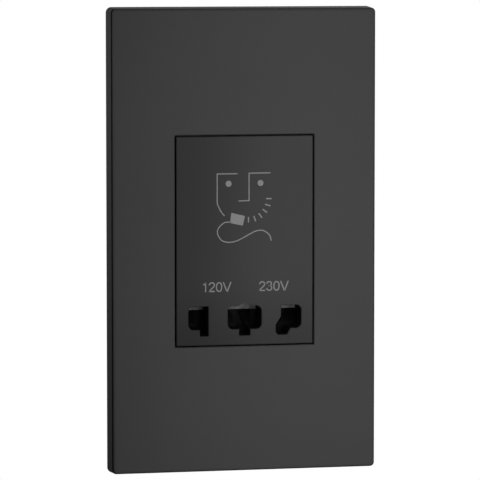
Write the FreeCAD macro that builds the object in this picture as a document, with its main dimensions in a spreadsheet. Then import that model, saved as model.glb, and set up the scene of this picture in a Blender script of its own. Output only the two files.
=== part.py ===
import FreeCAD, Part
import math
import os
import re
import Sketcher

# Wall shaver socket, upright on a two-gang wall box.
# Millimetres. +Z is up, the front faces -Y and the wall is the plane Y = 0.
# The origin is the middle of the cover plate, on the wall.

os.makedirs("parts", exist_ok=True)
doc = FreeCAD.newDocument("ShaverSocket")
sheet = doc.addObject("Spreadsheet::Sheet", "Sizes")

SIZES = {
    # Cover plate, with sides that flare a little towards the wall
    "plate_width": 87.8,
    "plate_height": 150.6,
    "plate_depth": 8.0,
    "plate_flare": 0.5,
    "plate_corner": 1.8,
    "plate_edge": 1.2,
    "plate_rim": 2.2,
    "plate_skin": 2.0,
    "collar_wall": 1.4,
    "window_gap": 0.5,
    # Clip lugs between the cover plate and the frame
    "lug_inset": 6.2,
    "lug_spread": 84.0,
    "lug_width": 6.0,
    "lug_wall": 1.2,
    "lug_barb": 0.9,
    "lug_catch": 1.1,
    "lug_tip": 0.3,
    "lug_play": 0.4,
    # Insert: three modules high, one wide
    "face_width": 45.0,
    "face_height": 67.5,
    "face_corner": 0.3,
    "face_edge": 0.25,
    "face_skin": 2.2,
    "skirt_inset": 0.7,
    "skirt_wall": 1.4,
    "skirt_back": 0.6,
    "skirt_play": 0.2,
    "hook_reach": 0.7,
    "hook_width": 8.0,
    "hook_height": 14.0,
    "shroud_wall": 1.2,
    # Apertures: heights from the middle of the insert, down is negative
    "aperture_top": -21.1,
    "aperture_low": -28.7,
    "blade_low": -30.8,
    "aperture_round": 1.8,
    "blade_round": 0.3,
    "left_outer": -18.6,
    "left_step": -14.8,
    "left_inner": -11.95,
    "middle_half": 5.62,
    "middle_peak": 1.1,
    "peak_half": 2.1,
    "middle_step": 1.85,
    "right_inner": 12.05,
    "right_outer": 18.8,
    "lobe_left": 10.3,
    "lobe_high": -24.8,
    "lobe_bend": -27.6,
    "lobe_cut": 0.8,
    "lobe_right": 14.0,
    "lobe_step": 15.2,
    # Plug pins and blades that the apertures take
    "pin_height": -24.85,
    "pin_offset": 1.06,
    "pin_spacing": 16.66,
    "pin_hole": 2.75,
    "pin_spread": 1.2,
    "blade_height": -25.95,
    "blade_length": 6.9,
    "blade_slot": 1.9,
    "blade_middle": -0.7,
    "blade_spacing": 12.7,
    "slant_middle": -0.1,
    "slant_spacing": 13.7,
    "slant_angle": 30.0,
    # Support frame, as large as the plate's hollow less its play
    "frame_play": 0.6,
    "frame_plate": 2.0,
    "frame_corner": 2.5,
    "frame_rim": 1.4,
    "frame_rim_rise": 1.0,
    "seat_recess": 0.5,
    "seat_play": 0.3,
    # Wall screws
    "wall_screw_spacing": 120.6,
    "wall_screw_radius": 1.75,
    "wall_screw_neck": 1.3,
    "wall_screw_reach": 25.0,
    "wall_screw_head": 3.4,
    "wall_screw_head_rise": 1.2,
    "wall_screw_hole": 2.0,
    "wall_slot": 1.5,
    # Rear housing
    "housing_width": 64.0,
    "housing_height": 102.0,
    "housing_depth": 40.0,
    "housing_wall": 2.0,
    "housing_corner": 4.0,
    "boss_radius": 3.4,
    "boss_depth": 11.0,
    "boss_across": 54.4,
    "boss_spread": 93.0,
    "vent_length": 13.0,
    "vent_width": 2.0,
    "vent_pitch": 5.0,
    "vent_count": 6,
    "vent_depth": 14.0,
    "ledge_wall": 2.0,
    # Small thread-forming screws
    "tap_radius": 1.3,
    "tap_hole": 1.6,
    "tap_reach": 9.5,
    "tap_head": 2.7,
    "tap_head_rise": 1.2,
    # Contact carrier, a tray open to the rear
    "carrier_front": 0.8,
    "carrier_skin": 1.0,
    "carrier_wall": 1.5,
    "carrier_half": 21.7,
    "carrier_top": -11.0,
    "carrier_low": -47.3,
    "carrier_back": 17.2,
    "sight_top": -23.0,
    "sight_low": -31.8,
    "sight_half": 19.2,
    "ear_across": 30.0,
    "ear_height": -7.8,
    "ear_half": 2.7,
    "ear_depth": 2.0,
    "carrier_screw_reach": 5.4,
    # Shutter
    "shutter_play": 0.3,
    "shutter_plate": 3.0,
    "shutter_gap": 0.3,
    "shutter_low": -31.9,
    "shutter_travel": 6.5,
    "ramp_depth": 2.4,
    "groove_depth": 2.0,
    # Return spring
    "spring_radius": 1.15,
    "spring_wire": 0.25,
    "spring_turns": 5,
    # Contact block and contacts
    "block_play": 0.2,
    "block_skin": 1.2,
    "block_low": -38.5,
    "contact_strip": 0.5,
    "contact_gap": 0.4,
    "contact_height": 8.6,
    "contact_waist": 0.9,
    "contact_tail": 2.4,
    "tail_width": 3.0,
    # Switch
    "switch_length": 12.8,
    "switch_height": 5.8,
    "switch_depth": 6.4,
    "switch_right": 19.4,
    "switch_x": 10.0,
    "plunger_width": 2.0,
    "plunger_depth": 2.4,
    "plunger_rise": 1.4,
    "plunger_travel": 1.2,
    "plunger_root": 1.8,
    "plunger_play": 0.1,
    "switch_foot": 3.0,
    "switch_gap": 0.3,
    "tag_width": 2.2,
    "tag_thick": 0.5,
    "tag_reach": 3.4,
    # Transformer
    "core_leg": 9.0,
    "core_stack": 18.0,
    "core_z": 22.0,
    "core_y": 21.0,
    "core_hole": 1.9,
    "core_screw": 1.75,
    "core_screw_head": 3.0,
    "core_screw_head_rise": 1.6,
    "core_screw_grip": 7.0,
    "post_half": 3.0,
    "bobbin_play": 0.3,
    "bobbin_wall": 1.0,
    "bobbin_flange": 1.0,
    "coil_build": 5.6,
    "coil_side": 6.6,
    "coil_corner": 3.5,
    "flange_over": 0.7,
    "tape_wall": 0.3,
    "tape_margin": 0.6,
    "cutout_length": 9.0,
    "cutout_height": 6.0,
    "cutout_thick": 2.6,
    "coil_pin": 0.45,
    "coil_pin_drop": 4.5,
    "coil_pin_inset": 3.6,
    "outlet_pin_pitch": 12.0,
    "mains_pin_half": 14.0,
    # Mains terminals
    "terminal_pitch": 12.0,
    "terminal_front": 25.0,
    "terminal_top": -37.0,
    "terminal_half": 19.0,
    "clamp_width": 7.2,
    "clamp_depth": 8.0,
    "clamp_height": 8.4,
    "clamp_y": 31.0,
    "clamp_z": -43.0,
    "wire_hole": 1.8,
    "terminal_screw": 1.5,
    "terminal_screw_head": 2.1,
    "terminal_screw_rise": 1.8,
    "terminal_screw_reach": 4.4,
    "access_hole": 2.6,
    # Wires inside
    "wire_radius": 0.7,
    "outlet_level": -6.4,
}

for row, (name, size) in enumerate(SIZES.items(), start=1):
    sheet.set("A%d" % row, name)
    sheet.set("B%d" % row, str(size))
    sheet.setAlias("B%d" % row, name)
doc.recompute()

# Sizes that several pieces share, each one a formula of the sheet's names
FRONT = "(-plate_depth)"
FACE_BACK = "(face_skin - plate_depth)"
FRAME_FRONT = "(-frame_plate)"
FRAME_WIDTH = "(plate_width - 2 * plate_rim - 2 * frame_play)"
FRAME_HEIGHT = "(plate_height - 2 * plate_rim - 2 * frame_play)"
LUG_MIDDLE = "(plate_width / 2 - plate_rim - frame_play - lug_inset)"
SEAT = "(-seat_recess)"
SKIRT_HALF = "(face_width / 2 - skirt_inset)"
SKIRT_RISE = "(face_height / 2 - skirt_inset)"
HOUSING_BACK = "(housing_depth - housing_wall)"
CARRIER_INNER = "(carrier_half - carrier_wall)"
SHUTTER_FRONT = "(carrier_front + carrier_skin + shutter_gap)"
SHUTTER_BACK = "(carrier_front + carrier_skin + shutter_gap + shutter_plate)"
SHUTTER_TOP = "(carrier_top - carrier_wall - shutter_play)"
SHUTTER_HALF = "(carrier_half - carrier_wall - shutter_play)"
BLOCK_FRONT = "(carrier_front + carrier_skin + 2 * shutter_gap + shutter_plate)"
CARRIER_FLOOR = "(carrier_low + carrier_wall)"
PLUNGER_TOP = "(carrier_low + carrier_wall + switch_height + plunger_rise)"
FOOT_LOW = "(carrier_low + carrier_wall + switch_height + plunger_rise - plunger_travel" \
    " + shutter_travel + switch_gap)"
CORE_FRONT = "(core_y - core_stack / 2)"
CORE_BACK = "(core_y + core_stack / 2)"
COIL_HALF = "(core_stack / 2 + bobbin_play + bobbin_wall + coil_build)"
FLANGE_LOW = "(core_z - 1.5 * core_leg + bobbin_play)"
PIN_LOW = "(core_z - 1.5 * core_leg + bobbin_play - coil_pin_drop)"
TAIL_BACK = "(carrier_back + contact_tail)"

nodes = []


def bound(formula):
    """Return a formula with each size written as a cell of the sheet."""
    def cell(word):
        name = word.group(0)
        return "Sizes." + name if name in SIZES else name
    return re.sub(r"[a-z][a-z0-9_]*", cell, str(formula))


def value(formula):
    """Return the number that a formula gives now."""
    result = doc.Sizes.evalExpression(bound(formula))
    return float(getattr(result, "Value", result))


def keep(node, label):
    """Name an object as one piece of the socket."""
    node.Label = label
    nodes.append(node)
    return node


# Sketched bodies

def new_body(label):
    return keep(doc.addObject("PartDesign::Body", label), label)


def sketch(body, name, level, role="XZ_Plane"):
    """Start a sketch; on XZ_Plane level is its Y, on XY_Plane its Z and on YZ_Plane its X."""
    drawn = body.newObject("Sketcher::SketchObject", body.Label + "_" + name)
    plane = [feature for feature in body.Origin.OriginFeatures if feature.Role == role][0]
    drawn.AttachmentSupport = [(plane, "")]
    drawn.MapMode = "FlatFace"
    sign = "-" if role == "XZ_Plane" else ""
    drawn.setExpression("AttachmentOffset.Base.z", "%s(%s)" % (sign, bound(level)))
    return drawn


def fix_point(drawn, index, end, across, up):
    """Hold a point of a sketch at a place given by two formulas."""
    for kind, formula in (("DistanceX", across), ("DistanceY", up)):
        row = drawn.addConstraint(Sketcher.Constraint(kind, -1, 1, index, end, value(formula)))
        drawn.setExpression("Constraints[%d]" % row, bound(formula))


def outline(drawn, corners):
    """Draw a closed outline, counter-clockwise, from corners (across, up, radius or None)."""
    count = len(corners)
    places = [FreeCAD.Vector(value(c[0]), value(c[1]), 0) for c in corners]
    radii = [value(c[2]) if c[2] else 0.0 for c in corners]
    arrive = []
    leave = []
    for i in range(count):
        back = (places[i - 1] - places[i]).normalize()
        ahead = (places[(i + 1) % count] - places[i]).normalize()
        half = back.getAngle(ahead) / 2
        setback = radii[i] / math.tan(half)
        arrive.append(places[i] + back * setback)
        leave.append(places[i] + ahead * setback)
    lines = [drawn.addGeometry(Part.LineSegment(leave[i], arrive[(i + 1) % count]), False)
             for i in range(count)]
    first_radius = {}
    for i in range(count):
        before = lines[i - 1]
        after = lines[i]
        if not radii[i]:
            drawn.addConstraint(Sketcher.Constraint("Coincident", before, 2, after, 1))
            fix_point(drawn, after, 1, corners[i][0], corners[i][1])
            continue
        inward = (arrive[i] + leave[i]) * 0.5 - places[i]
        half = (arrive[i] - places[i]).getAngle(leave[i] - places[i]) / 2
        centre = places[i] + inward.normalize() * (radii[i] / math.sin(half))
        turn = (places[i] - places[i - 1]).cross(places[(i + 1) % count] - places[i]).z
        ends = (arrive[i], leave[i]) if turn > 0 else (leave[i], arrive[i])
        angles = [math.atan2((end - centre).y, (end - centre).x) for end in ends]
        circle = Part.Circle(centre, FreeCAD.Vector(0, 0, 1), radii[i])
        arc = drawn.addGeometry(Part.ArcOfCircle(circle, angles[0], angles[1]), False)
        start, stop = (1, 2) if turn > 0 else (2, 1)
        drawn.addConstraint(Sketcher.Constraint("Tangent", before, 2, arc, start))
        drawn.addConstraint(Sketcher.Constraint("Tangent", arc, stop, after, 1))
        if corners[i][2] in first_radius:
            drawn.addConstraint(Sketcher.Constraint("Equal", first_radius[corners[i][2]], arc))
        else:
            row = drawn.addConstraint(Sketcher.Constraint("Radius", arc, radii[i]))
            drawn.setExpression("Constraints[%d]" % row, bound(corners[i][2]))
            first_radius[corners[i][2]] = arc
        tip = drawn.addGeometry(Part.Point(places[i]), True)
        drawn.addConstraint(Sketcher.Constraint("PointOnObject", tip, 1, before))
        drawn.addConstraint(Sketcher.Constraint("PointOnObject", tip, 1, after))
        fix_point(drawn, tip, 1, corners[i][0], corners[i][1])
    return drawn


def block_corners(left, right, low, high, radius=None):
    """Corners of an upright rectangle."""
    return [(left, low, radius), (right, low, radius), (right, high, radius), (left, high, radius)]


def centred(width, height, radius=None, level="0"):
    """Corners of a rectangle about the middle, or about a level up or down from it."""
    return block_corners("-(%s) / 2" % width, "(%s) / 2" % width,
                         "%s - (%s) / 2" % (level, height), "%s + (%s) / 2" % (level, height), radius)


def circle(drawn, across, up, radius):
    middle = FreeCAD.Vector(value(across), value(up), 0)
    round_line = Part.Circle(middle, FreeCAD.Vector(0, 0, 1), value(radius))
    index = drawn.addGeometry(round_line, False)
    fix_point(drawn, index, 3, across, up)
    row = drawn.addConstraint(Sketcher.Constraint("Radius", index, value(radius)))
    drawn.setExpression("Constraints[%d]" % row, bound(radius))
    return drawn


def octagon(drawn, across, up, radius):
    """A hidden hole that the eight-sided shank of a small screw fits."""
    angles = [math.pi * step / 4 for step in range(8)]
    return outline(drawn, [("%s + (%s) * %.6f" % (across, radius, math.cos(angle)),
                            "%s + (%s) * %.6f" % (up, radius, math.sin(angle)), None)
                           for angle in angles])


def pad(body, name, drawn, length, reverse=False):
    """Grow a sketch: to the front from XZ_Plane, up from XY_Plane, or the other way."""
    made = body.newObject("PartDesign::Pad", body.Label + "_" + name)
    made.Profile = drawn
    made.Reversed = reverse
    made.setExpression("Length", bound(length))
    doc.recompute()
    return made


def pocket(body, name, drawn, length, reverse=False):
    """Cut a sketch away: to the rear from XZ_Plane, down from XY_Plane, or the other way."""
    before = body.Shape.Volume
    made = body.newObject("PartDesign::Pocket", body.Label + "_" + name)
    made.Profile = drawn
    made.Reversed = reverse
    made.setExpression("Length", bound(length))
    doc.recompute()
    if not body.Shape.Volume < before:
        raise RuntimeError("nothing was cut by " + made.Name)
    return made


def repeat(body, name, feature, drawn, axis, spacing, count):
    """Repeat a feature along an axis of its own sketch."""
    made = body.newObject("PartDesign::LinearPattern", body.Label + "_" + name)
    made.Originals = [feature]
    made.Direction = (drawn, [axis])
    made.setExpression("Length", bound("%s * (%s - 1)" % (spacing, count)))
    made.setExpression("Occurrences", bound(count))
    body.Tip = made
    doc.recompute()
    return made


def soften(body, name, kind, size, chosen):
    """Give a Fillet or a Chamfer to the edges of a body whose boxes pass the test."""
    base = body.Tip
    picked = ["Edge%d" % row for row, edge in enumerate(base.Shape.Edges, start=1)
              if chosen(edge.BoundBox)]
    made = body.newObject("PartDesign::" + kind, body.Label + "_" + name)
    made.Base = (base, picked)
    made.setExpression("Radius" if kind == "Fillet" else "Size", bound(size))
    doc.recompute()
    return made


def turned(label, profile, across="0", depth="0", up="0", role="XY_Plane"):
    """Turn a profile of corners (radius, along) about the Y axis and move it to its place."""
    body = doc.addObject("PartDesign::Body", label)
    body.Label = label
    drawn = sketch(body, "profile", "0", role)
    outline(drawn, [(radius, along, None) for radius, along in profile])
    made = body.newObject("PartDesign::Revolution", label + "_turned")
    made.Profile = drawn
    made.ReferenceAxis = (drawn, ["V_Axis"])
    made.Angle = 360
    for corner, formula in (("x", across), ("y", depth), ("z", up)):
        body.setExpression("Placement.Base." + corner, bound(formula))
    doc.recompute()
    return body


# Plain solids and booleans

def box(name, across, deep, high):
    """A block between two formulas on each axis."""
    solid = doc.addObject("Part::Box", name)
    for side, corner, (low, top) in (("Length", "x", across), ("Width", "y", deep),
                                     ("Height", "z", high)):
        solid.setExpression(side, bound("(%s) - (%s)" % (top, low)))
        solid.setExpression("Placement.Base." + corner, bound(low))
    return solid


def rod(name, radius, start, length, axis="y"):
    """A cylinder from a start (across, deep, up) along an axis."""
    solid = doc.addObject("Part::Cylinder", name)
    if axis == "y":
        solid.Placement.Rotation = FreeCAD.Rotation(FreeCAD.Vector(1, 0, 0), -90)
    solid.setExpression("Radius", bound(radius))
    solid.setExpression("Height", bound(length))
    for corner, formula in zip("xyz", start):
        solid.setExpression("Placement.Base." + corner, bound(formula))
    return solid


def prism(name, sides, radius, start, length):
    """A few-sided bar that points to +Y from a start (across, deep, up)."""
    solid = doc.addObject("Part::Prism", name)
    solid.Polygon = sides
    solid.Placement.Rotation = FreeCAD.Rotation(FreeCAD.Vector(1, 0, 0), -90)
    solid.setExpression("Circumradius", bound(radius))
    solid.setExpression("Height", bound(length))
    for corner, formula in zip("xyz", start):
        solid.setExpression("Placement.Base." + corner, bound(formula))
    return solid


def joined(name, pieces):
    solid = doc.addObject("Part::MultiFuse", name)
    solid.Shapes = pieces
    solid.Refine = True
    return solid


def grouped(name, pieces):
    solid = doc.addObject("Part::Compound", name)
    solid.Links = pieces
    return solid


def mirrored(name, source, normal):
    solid = doc.addObject("Part::Mirroring", name)
    solid.Source = source
    solid.Normal = normal
    return solid


def carved(name, base, tools):
    """A piece with every tool cut out of it."""
    solid = doc.addObject("Part::Cut", name)
    solid.Base = base
    solid.Tool = tools[0] if len(tools) == 1 else joined(name + "_tools", tools)
    doc.recompute()
    if not solid.Shape.Volume < base.Shape.Volume:
        raise RuntimeError("nothing was cut from " + name)
    return solid


# Shared outlines

def left_aperture():
    return [("left_outer", "aperture_low", "aperture_round"), ("left_step", "aperture_low", None),
            ("left_step", "blade_low", "blade_round"), ("left_inner", "blade_low", "blade_round"),
            ("left_inner", "aperture_top", "blade_round"),
            ("left_outer", "aperture_top", "aperture_round")]


def middle_aperture():
    """The common aperture, with a low gable on top."""
    return [("-middle_half", "aperture_low", "aperture_round"), ("-middle_step", "aperture_low", None),
            ("-middle_step", "blade_low", "blade_round"), ("middle_step", "blade_low", "blade_round"),
            ("middle_step", "aperture_low", None), ("middle_half", "aperture_low", "aperture_round"),
            ("middle_half", "aperture_top", "aperture_round"), ("peak_half", "aperture_top", None),
            ("0", "aperture_top + middle_peak", None), ("-peak_half", "aperture_top", None),
            ("-middle_half", "aperture_top", "aperture_round")]


def right_aperture():
    """The aperture with a slanted lobe for a slanted blade."""
    return [("lobe_left + lobe_cut", "blade_low", None), ("lobe_right", "blade_low", "blade_round"),
            ("lobe_step", "aperture_low", None), ("right_outer", "aperture_low", "aperture_round"),
            ("right_outer", "aperture_top", "aperture_round"),
            ("right_inner", "aperture_top", "blade_round"), ("right_inner", "lobe_high", None),
            ("lobe_left", "lobe_bend", "blade_round"), ("lobe_left", "blade_low + lobe_cut", None)]


APERTURES = (
    ("left", left_aperture, "left_outer", "left_inner"),
    ("middle", middle_aperture, "-middle_half", "middle_half"),
    ("right", right_aperture, "lobe_left", "right_outer"),
)


# Cover plate

def make_cover_plate():
    body = new_body("cover_plate")
    back = outline(sketch(body, "back", "0"), centred("plate_width", "plate_height", "plate_corner"))
    shell = pad(body, "shell", back, "plate_depth")
    shell.setExpression("TaperAngle", bound("-atan(plate_flare / plate_depth)"))
    doc.recompute()
    hollow = outline(sketch(body, "hollow", "0"),
                     centred("plate_width - 2 * plate_rim", "plate_height - 2 * plate_rim",
                             "plate_corner"))
    pocket(body, "hollowed", hollow, "plate_depth - plate_skin", True)
    collar = outline(sketch(body, "collar", FRAME_FRONT),
                     centred("face_width + 2 * window_gap + 2 * collar_wall",
                             "face_height + 2 * window_gap + 2 * collar_wall"))
    pad(body, "collared", collar, "plate_depth - plate_skin / 2 - frame_plate")
    window = outline(sketch(body, "window", FRONT),
                     centred("face_width + 2 * window_gap", "face_height + 2 * window_gap",
                             "face_corner"))
    pocket(body, "windowed", window, "plate_depth")
    for side in (-1, 1):
        for end in (-1, 1):
            tag = "_%d%d" % (side + 1, end + 1)
            middle = "%d * lug_spread / 2" % end
            low = middle + " - lug_width / 2"
            high = middle + " + lug_width / 2"
            inner = "%d * (%s - lug_wall / 2)" % (side, LUG_MIDDLE)
            outer = "%d * (%s + lug_wall / 2)" % (side, LUG_MIDDLE)
            barb = "%d * (%s + lug_wall / 2 + lug_barb)" % (side, LUG_MIDDLE)
            across = (inner, outer) if side > 0 else (outer, inner)
            lug = outline(sketch(body, "lug" + tag, "-lug_tip"),
                          block_corners(across[0], across[1], low, high))
            pad(body, "lugged" + tag, lug, "plate_depth - plate_skin / 2 - lug_tip")
            across = (inner, barb) if side > 0 else (barb, inner)
            tooth = outline(sketch(body, "tooth" + tag, "-lug_tip"),
                            block_corners(across[0], across[1], low, high))
            pad(body, "toothed" + tag, tooth, "lug_catch - lug_tip")
    face = value(FRONT)
    limit = value("face_height / 2 + window_gap + collar_wall")
    for name, kind, size, outer in (("rounded", "Fillet", "plate_edge", True),
                                    ("eased", "Chamfer", "face_edge", False)):
        soften(body, name, kind, size, lambda edge: edge.YMax < face + 1e-4 and outer == (
            max(edge.XMax, -edge.XMin, edge.ZMax, -edge.ZMin) > limit))


# Insert with the apertures

def make_socket_face():
    body = new_body("socket_face")
    plate = outline(sketch(body, "plate", FACE_BACK), centred("face_width", "face_height", "face_corner"))
    pad(body, "plated", plate, "face_skin")
    skirt = outline(sketch(body, "skirt", "skirt_back"),
                    centred("2 * %s" % SKIRT_HALF, "2 * %s" % SKIRT_RISE, "face_corner"))
    outline(skirt, centred("2 * (%s - skirt_wall)" % SKIRT_HALF, "2 * (%s - skirt_wall)" % SKIRT_RISE))
    pad(body, "skirted", skirt, "plate_depth - face_skin / 2 + skirt_back")
    for side in (-1, 1):
        for end in (-1, 1):
            tag = "_%d%d" % (side + 1, end + 1)
            middle = "%d * hook_height" % end
            inner = "%d * (%s - skirt_wall / 2)" % (side, SKIRT_HALF)
            outer = "%d * (%s + hook_reach)" % (side, SKIRT_HALF)
            across = (inner, outer) if side > 0 else (outer, inner)
            hook = outline(sketch(body, "hook" + tag, "skirt_back"),
                           block_corners(across[0], across[1], middle + " - hook_width / 2",
                                         middle + " + hook_width / 2"))
            pad(body, "hooked" + tag, hook, "skirt_back + seat_recess")
    for side in (-1, 1):
        middle = "%d * ear_across / 2" % side
        boss = outline(sketch(body, "boss_%d" % (side + 1), "carrier_front"),
                       block_corners(middle + " - ear_half", middle + " + ear_half",
                                     "ear_height - ear_half", "ear_height + ear_half"))
        pad(body, "bossed_%d" % (side + 1), boss, "plate_depth - face_skin / 2 + carrier_front")
    for name, corners, inner, outer in APERTURES:
        shroud = outline(sketch(body, "shroud_" + name, "skirt_back"),
                         block_corners(inner + " - shroud_wall", outer + " + shroud_wall",
                                       "blade_low - shroud_wall",
                                       "aperture_top + middle_peak + shroud_wall"))
        pad(body, "shrouded_" + name, shroud, "plate_depth - face_skin / 2 + skirt_back")
    for name, corners, inner, outer in APERTURES:
        pocket(body, "opened_" + name, outline(sketch(body, "aperture_" + name, FRONT), corners()),
               "plate_depth + skirt_back")
    for side in (-1, 1):
        hole = octagon(sketch(body, "pilot_%d" % (side + 1), "carrier_front"),
                       "%d * ear_across / 2" % side, "ear_height", "tap_radius")
        pocket(body, "drilled_%d" % (side + 1), hole,
               "carrier_screw_reach + tap_radius / 4 - ear_depth", True)
    face = value(FRONT)
    limit = value("face_width / 2 - face_edge")
    soften(body, "eased", "Chamfer", "face_edge", lambda edge: edge.YMax < face + 1e-4 and (
        max(edge.XMax, -edge.XMin, edge.ZMax, -edge.ZMin) > limit))


# Support frame

def make_support_frame():
    body = new_body("support_frame")
    plate = outline(sketch(body, "plate", "0"), centred(FRAME_WIDTH, FRAME_HEIGHT, "frame_corner"))
    pad(body, "plated", plate, "frame_plate")
    rim = outline(sketch(body, "rim", FRAME_FRONT), centred(FRAME_WIDTH, FRAME_HEIGHT, "frame_corner"))
    outline(rim, centred(FRAME_WIDTH + " - 2 * frame_rim", FRAME_HEIGHT + " - 2 * frame_rim",
                         "frame_corner - frame_rim"))
    pad(body, "rimmed", rim, "frame_rim_rise")
    opening = outline(sketch(body, "opening", FRAME_FRONT),
                      centred("2 * (%s + skirt_play)" % SKIRT_HALF, "2 * (%s + skirt_play)" % SKIRT_RISE,
                              "face_corner"))
    pocket(body, "opened", opening, "frame_plate")
    seat = outline(sketch(body, "seat", "0"),
                   centred("housing_width + 2 * seat_play", "housing_height + 2 * seat_play",
                           "housing_corner"))
    pocket(body, "seated", seat, "seat_recess", True)
    holes = sketch(body, "holes", FRAME_FRONT)
    circle(holes, "0", "-wall_screw_spacing / 2", "wall_screw_hole")
    outline(holes, centred("2 * (wall_screw_hole + wall_slot)", "2 * wall_screw_hole",
                           "wall_screw_hole * 0.98", "wall_screw_spacing / 2"))
    for side in (-1, 1):
        for end in (-1, 1):
            octagon(holes, "%d * boss_across / 2" % side, "%d * boss_spread / 2" % end, "tap_hole")
            outline(holes, block_corners(
                "%d * %s - lug_wall / 2 - lug_play" % (side, LUG_MIDDLE),
                "%d * %s + lug_wall / 2 + lug_play" % (side, LUG_MIDDLE),
                "%d * lug_spread / 2 - lug_width / 2 - lug_play" % end,
                "%d * lug_spread / 2 + lug_width / 2 + lug_play" % end))
    pocket(body, "holed", holes, "frame_plate")
    catches = sketch(body, "catches", "0")
    for side in (-1, 1):
        for end in (-1, 1):
            inner = "%d * %s" % (side, LUG_MIDDLE)
            outer = "%d * (%s + lug_wall / 2 + lug_barb + lug_play)" % (side, LUG_MIDDLE)
            across = (inner, outer) if side > 0 else (outer, inner)
            outline(catches, block_corners(across[0], across[1],
                                           "%d * lug_spread / 2 - lug_width / 2 - lug_play" % end,
                                           "%d * lug_spread / 2 + lug_width / 2 + lug_play" % end))
    pocket(body, "caught", catches, "lug_catch", True)


# Rear housing

def make_rear_housing():
    body = new_body("rear_housing")
    shell = outline(sketch(body, "shell", SEAT),
                    centred("housing_width", "housing_height", "housing_corner"))
    pad(body, "shelled", shell, "housing_depth + seat_recess", True)
    back = value("housing_depth")
    soften(body, "eased", "Chamfer", "housing_wall * 0.6", lambda edge: edge.YMin > back - 1e-4)
    hollow = outline(sketch(body, "hollow", SEAT),
                     centred("housing_width - 2 * housing_wall", "housing_height - 2 * housing_wall",
                             "housing_corner - housing_wall"))
    pocket(body, "hollowed", hollow, "housing_depth + seat_recess - housing_wall")
    for side in (-1, 1):
        for end in (-1, 1):
            tag = "_%d%d" % (side + 1, end + 1)
            wall_x = "%d * (housing_width / 2 - housing_wall / 2)" % side
            wall_z = "%d * (housing_height / 2 - housing_wall / 2)" % end
            boss_x = "%d * (boss_across / 2 - boss_radius)" % side
            boss_z = "%d * (boss_spread / 2 - boss_radius)" % end
            across = (boss_x, wall_x) if side > 0 else (wall_x, boss_x)
            high = (boss_z, wall_z) if end > 0 else (wall_z, boss_z)
            corner = outline(sketch(body, "boss" + tag, SEAT),
                             block_corners(across[0], across[1], high[0], high[1]))
            pad(body, "bossed" + tag, corner, "boss_depth", True)
            post = outline(sketch(body, "post" + tag, CORE_BACK), block_corners(
                "%d * 2.5 * core_leg - post_half" % side, "%d * 2.5 * core_leg + post_half" % side,
                "core_z + %d * 2 * core_leg - post_half" % end,
                "core_z + %d * 2 * core_leg + post_half" % end))
            pad(body, "posted" + tag, post, HOUSING_BACK + " - " + CORE_BACK + " + housing_wall / 2",
                True)
    for side in (-1, 1):
        inner = "%d * %s" % (side, CARRIER_INNER)
        outer = "%d * (housing_width / 2 - housing_wall / 2)" % side
        across = (inner, outer) if side > 0 else (outer, inner)
        ledge = outline(sketch(body, "ledge_%d" % (side + 1), "carrier_back"),
                        block_corners(across[0], across[1], "aperture_low - ledge_wall / 2",
                                      "aperture_low + ledge_wall / 2"))
        pad(body, "ledged_%d" % (side + 1), ledge,
            HOUSING_BACK + " - carrier_back + housing_wall / 2", True)
    pilots = sketch(body, "pilots", SEAT)
    for side in (-1, 1):
        for end in (-1, 1):
            octagon(pilots, "%d * boss_across / 2" % side, "%d * boss_spread / 2" % end,
                    "tap_radius")
    pocket(body, "piloted", pilots, "tap_reach - frame_plate + seat_recess + tap_radius / 4")
    bores = sketch(body, "bores", CORE_BACK)
    for side in (-1, 1):
        for end in (-1, 1):
            octagon(bores, "%d * 2.5 * core_leg" % side, "core_z + %d * 2 * core_leg" % end,
                    "core_screw")
    pocket(body, "bored", bores, "core_screw_grip + core_screw / 4")
    vent = outline(sketch(body, "vent", "housing_width / 2 + 1", "YZ_Plane"),
                   block_corners("vent_depth", "vent_depth + vent_length",
                                 "core_z - (vent_count - 1) * vent_pitch / 2 - vent_width / 2",
                                 "core_z - (vent_count - 1) * vent_pitch / 2 + vent_width / 2"))
    cut = pocket(body, "vented", vent, "housing_width + 2")
    repeat(body, "vents", cut, vent, "V_Axis", "vent_pitch", "vent_count")
    entries = sketch(body, "entries", "-housing_height / 2", "XY_Plane")
    for step in (-1, 0, 1):
        circle(entries, "%d * terminal_pitch" % step, "clamp_y", "access_hole")
    pocket(body, "entered", entries, "housing_wall", True)
    access = sketch(body, "access", "housing_depth")
    for step in (-1, 0, 1):
        circle(access, "%d * terminal_pitch" % step, "clamp_z", "access_hole")
    pocket(body, "accessed", access, "housing_wall", True)


# Screws

def hex_screw(label, radius, reach, head, rise, across, depth, up, facing=1):
    """A hexagon screw that points to +Y from under its head, or to -Y where facing is -1."""
    under = depth if facing > 0 else "%s - (%s)" % (depth, reach)
    above = "%s - (%s)" % (depth, rise) if facing > 0 else depth
    shank = prism(label + "_shank", 8, radius, (across, under, up), reach)
    crown = prism(label + "_head", 6, head, (across, above, up), rise)
    return joined(label, [shank, crown])


def four(name, source):
    """The piece at upper right, repeated at the four corners."""
    left = mirrored(name + "_left", source, FreeCAD.Vector(1, 0, 0))
    upper = grouped(name + "_upper", [source, left])
    lower = mirrored(name + "_lower", upper, FreeCAD.Vector(0, 0, 1))
    return grouped(name, [upper, lower])


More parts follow.
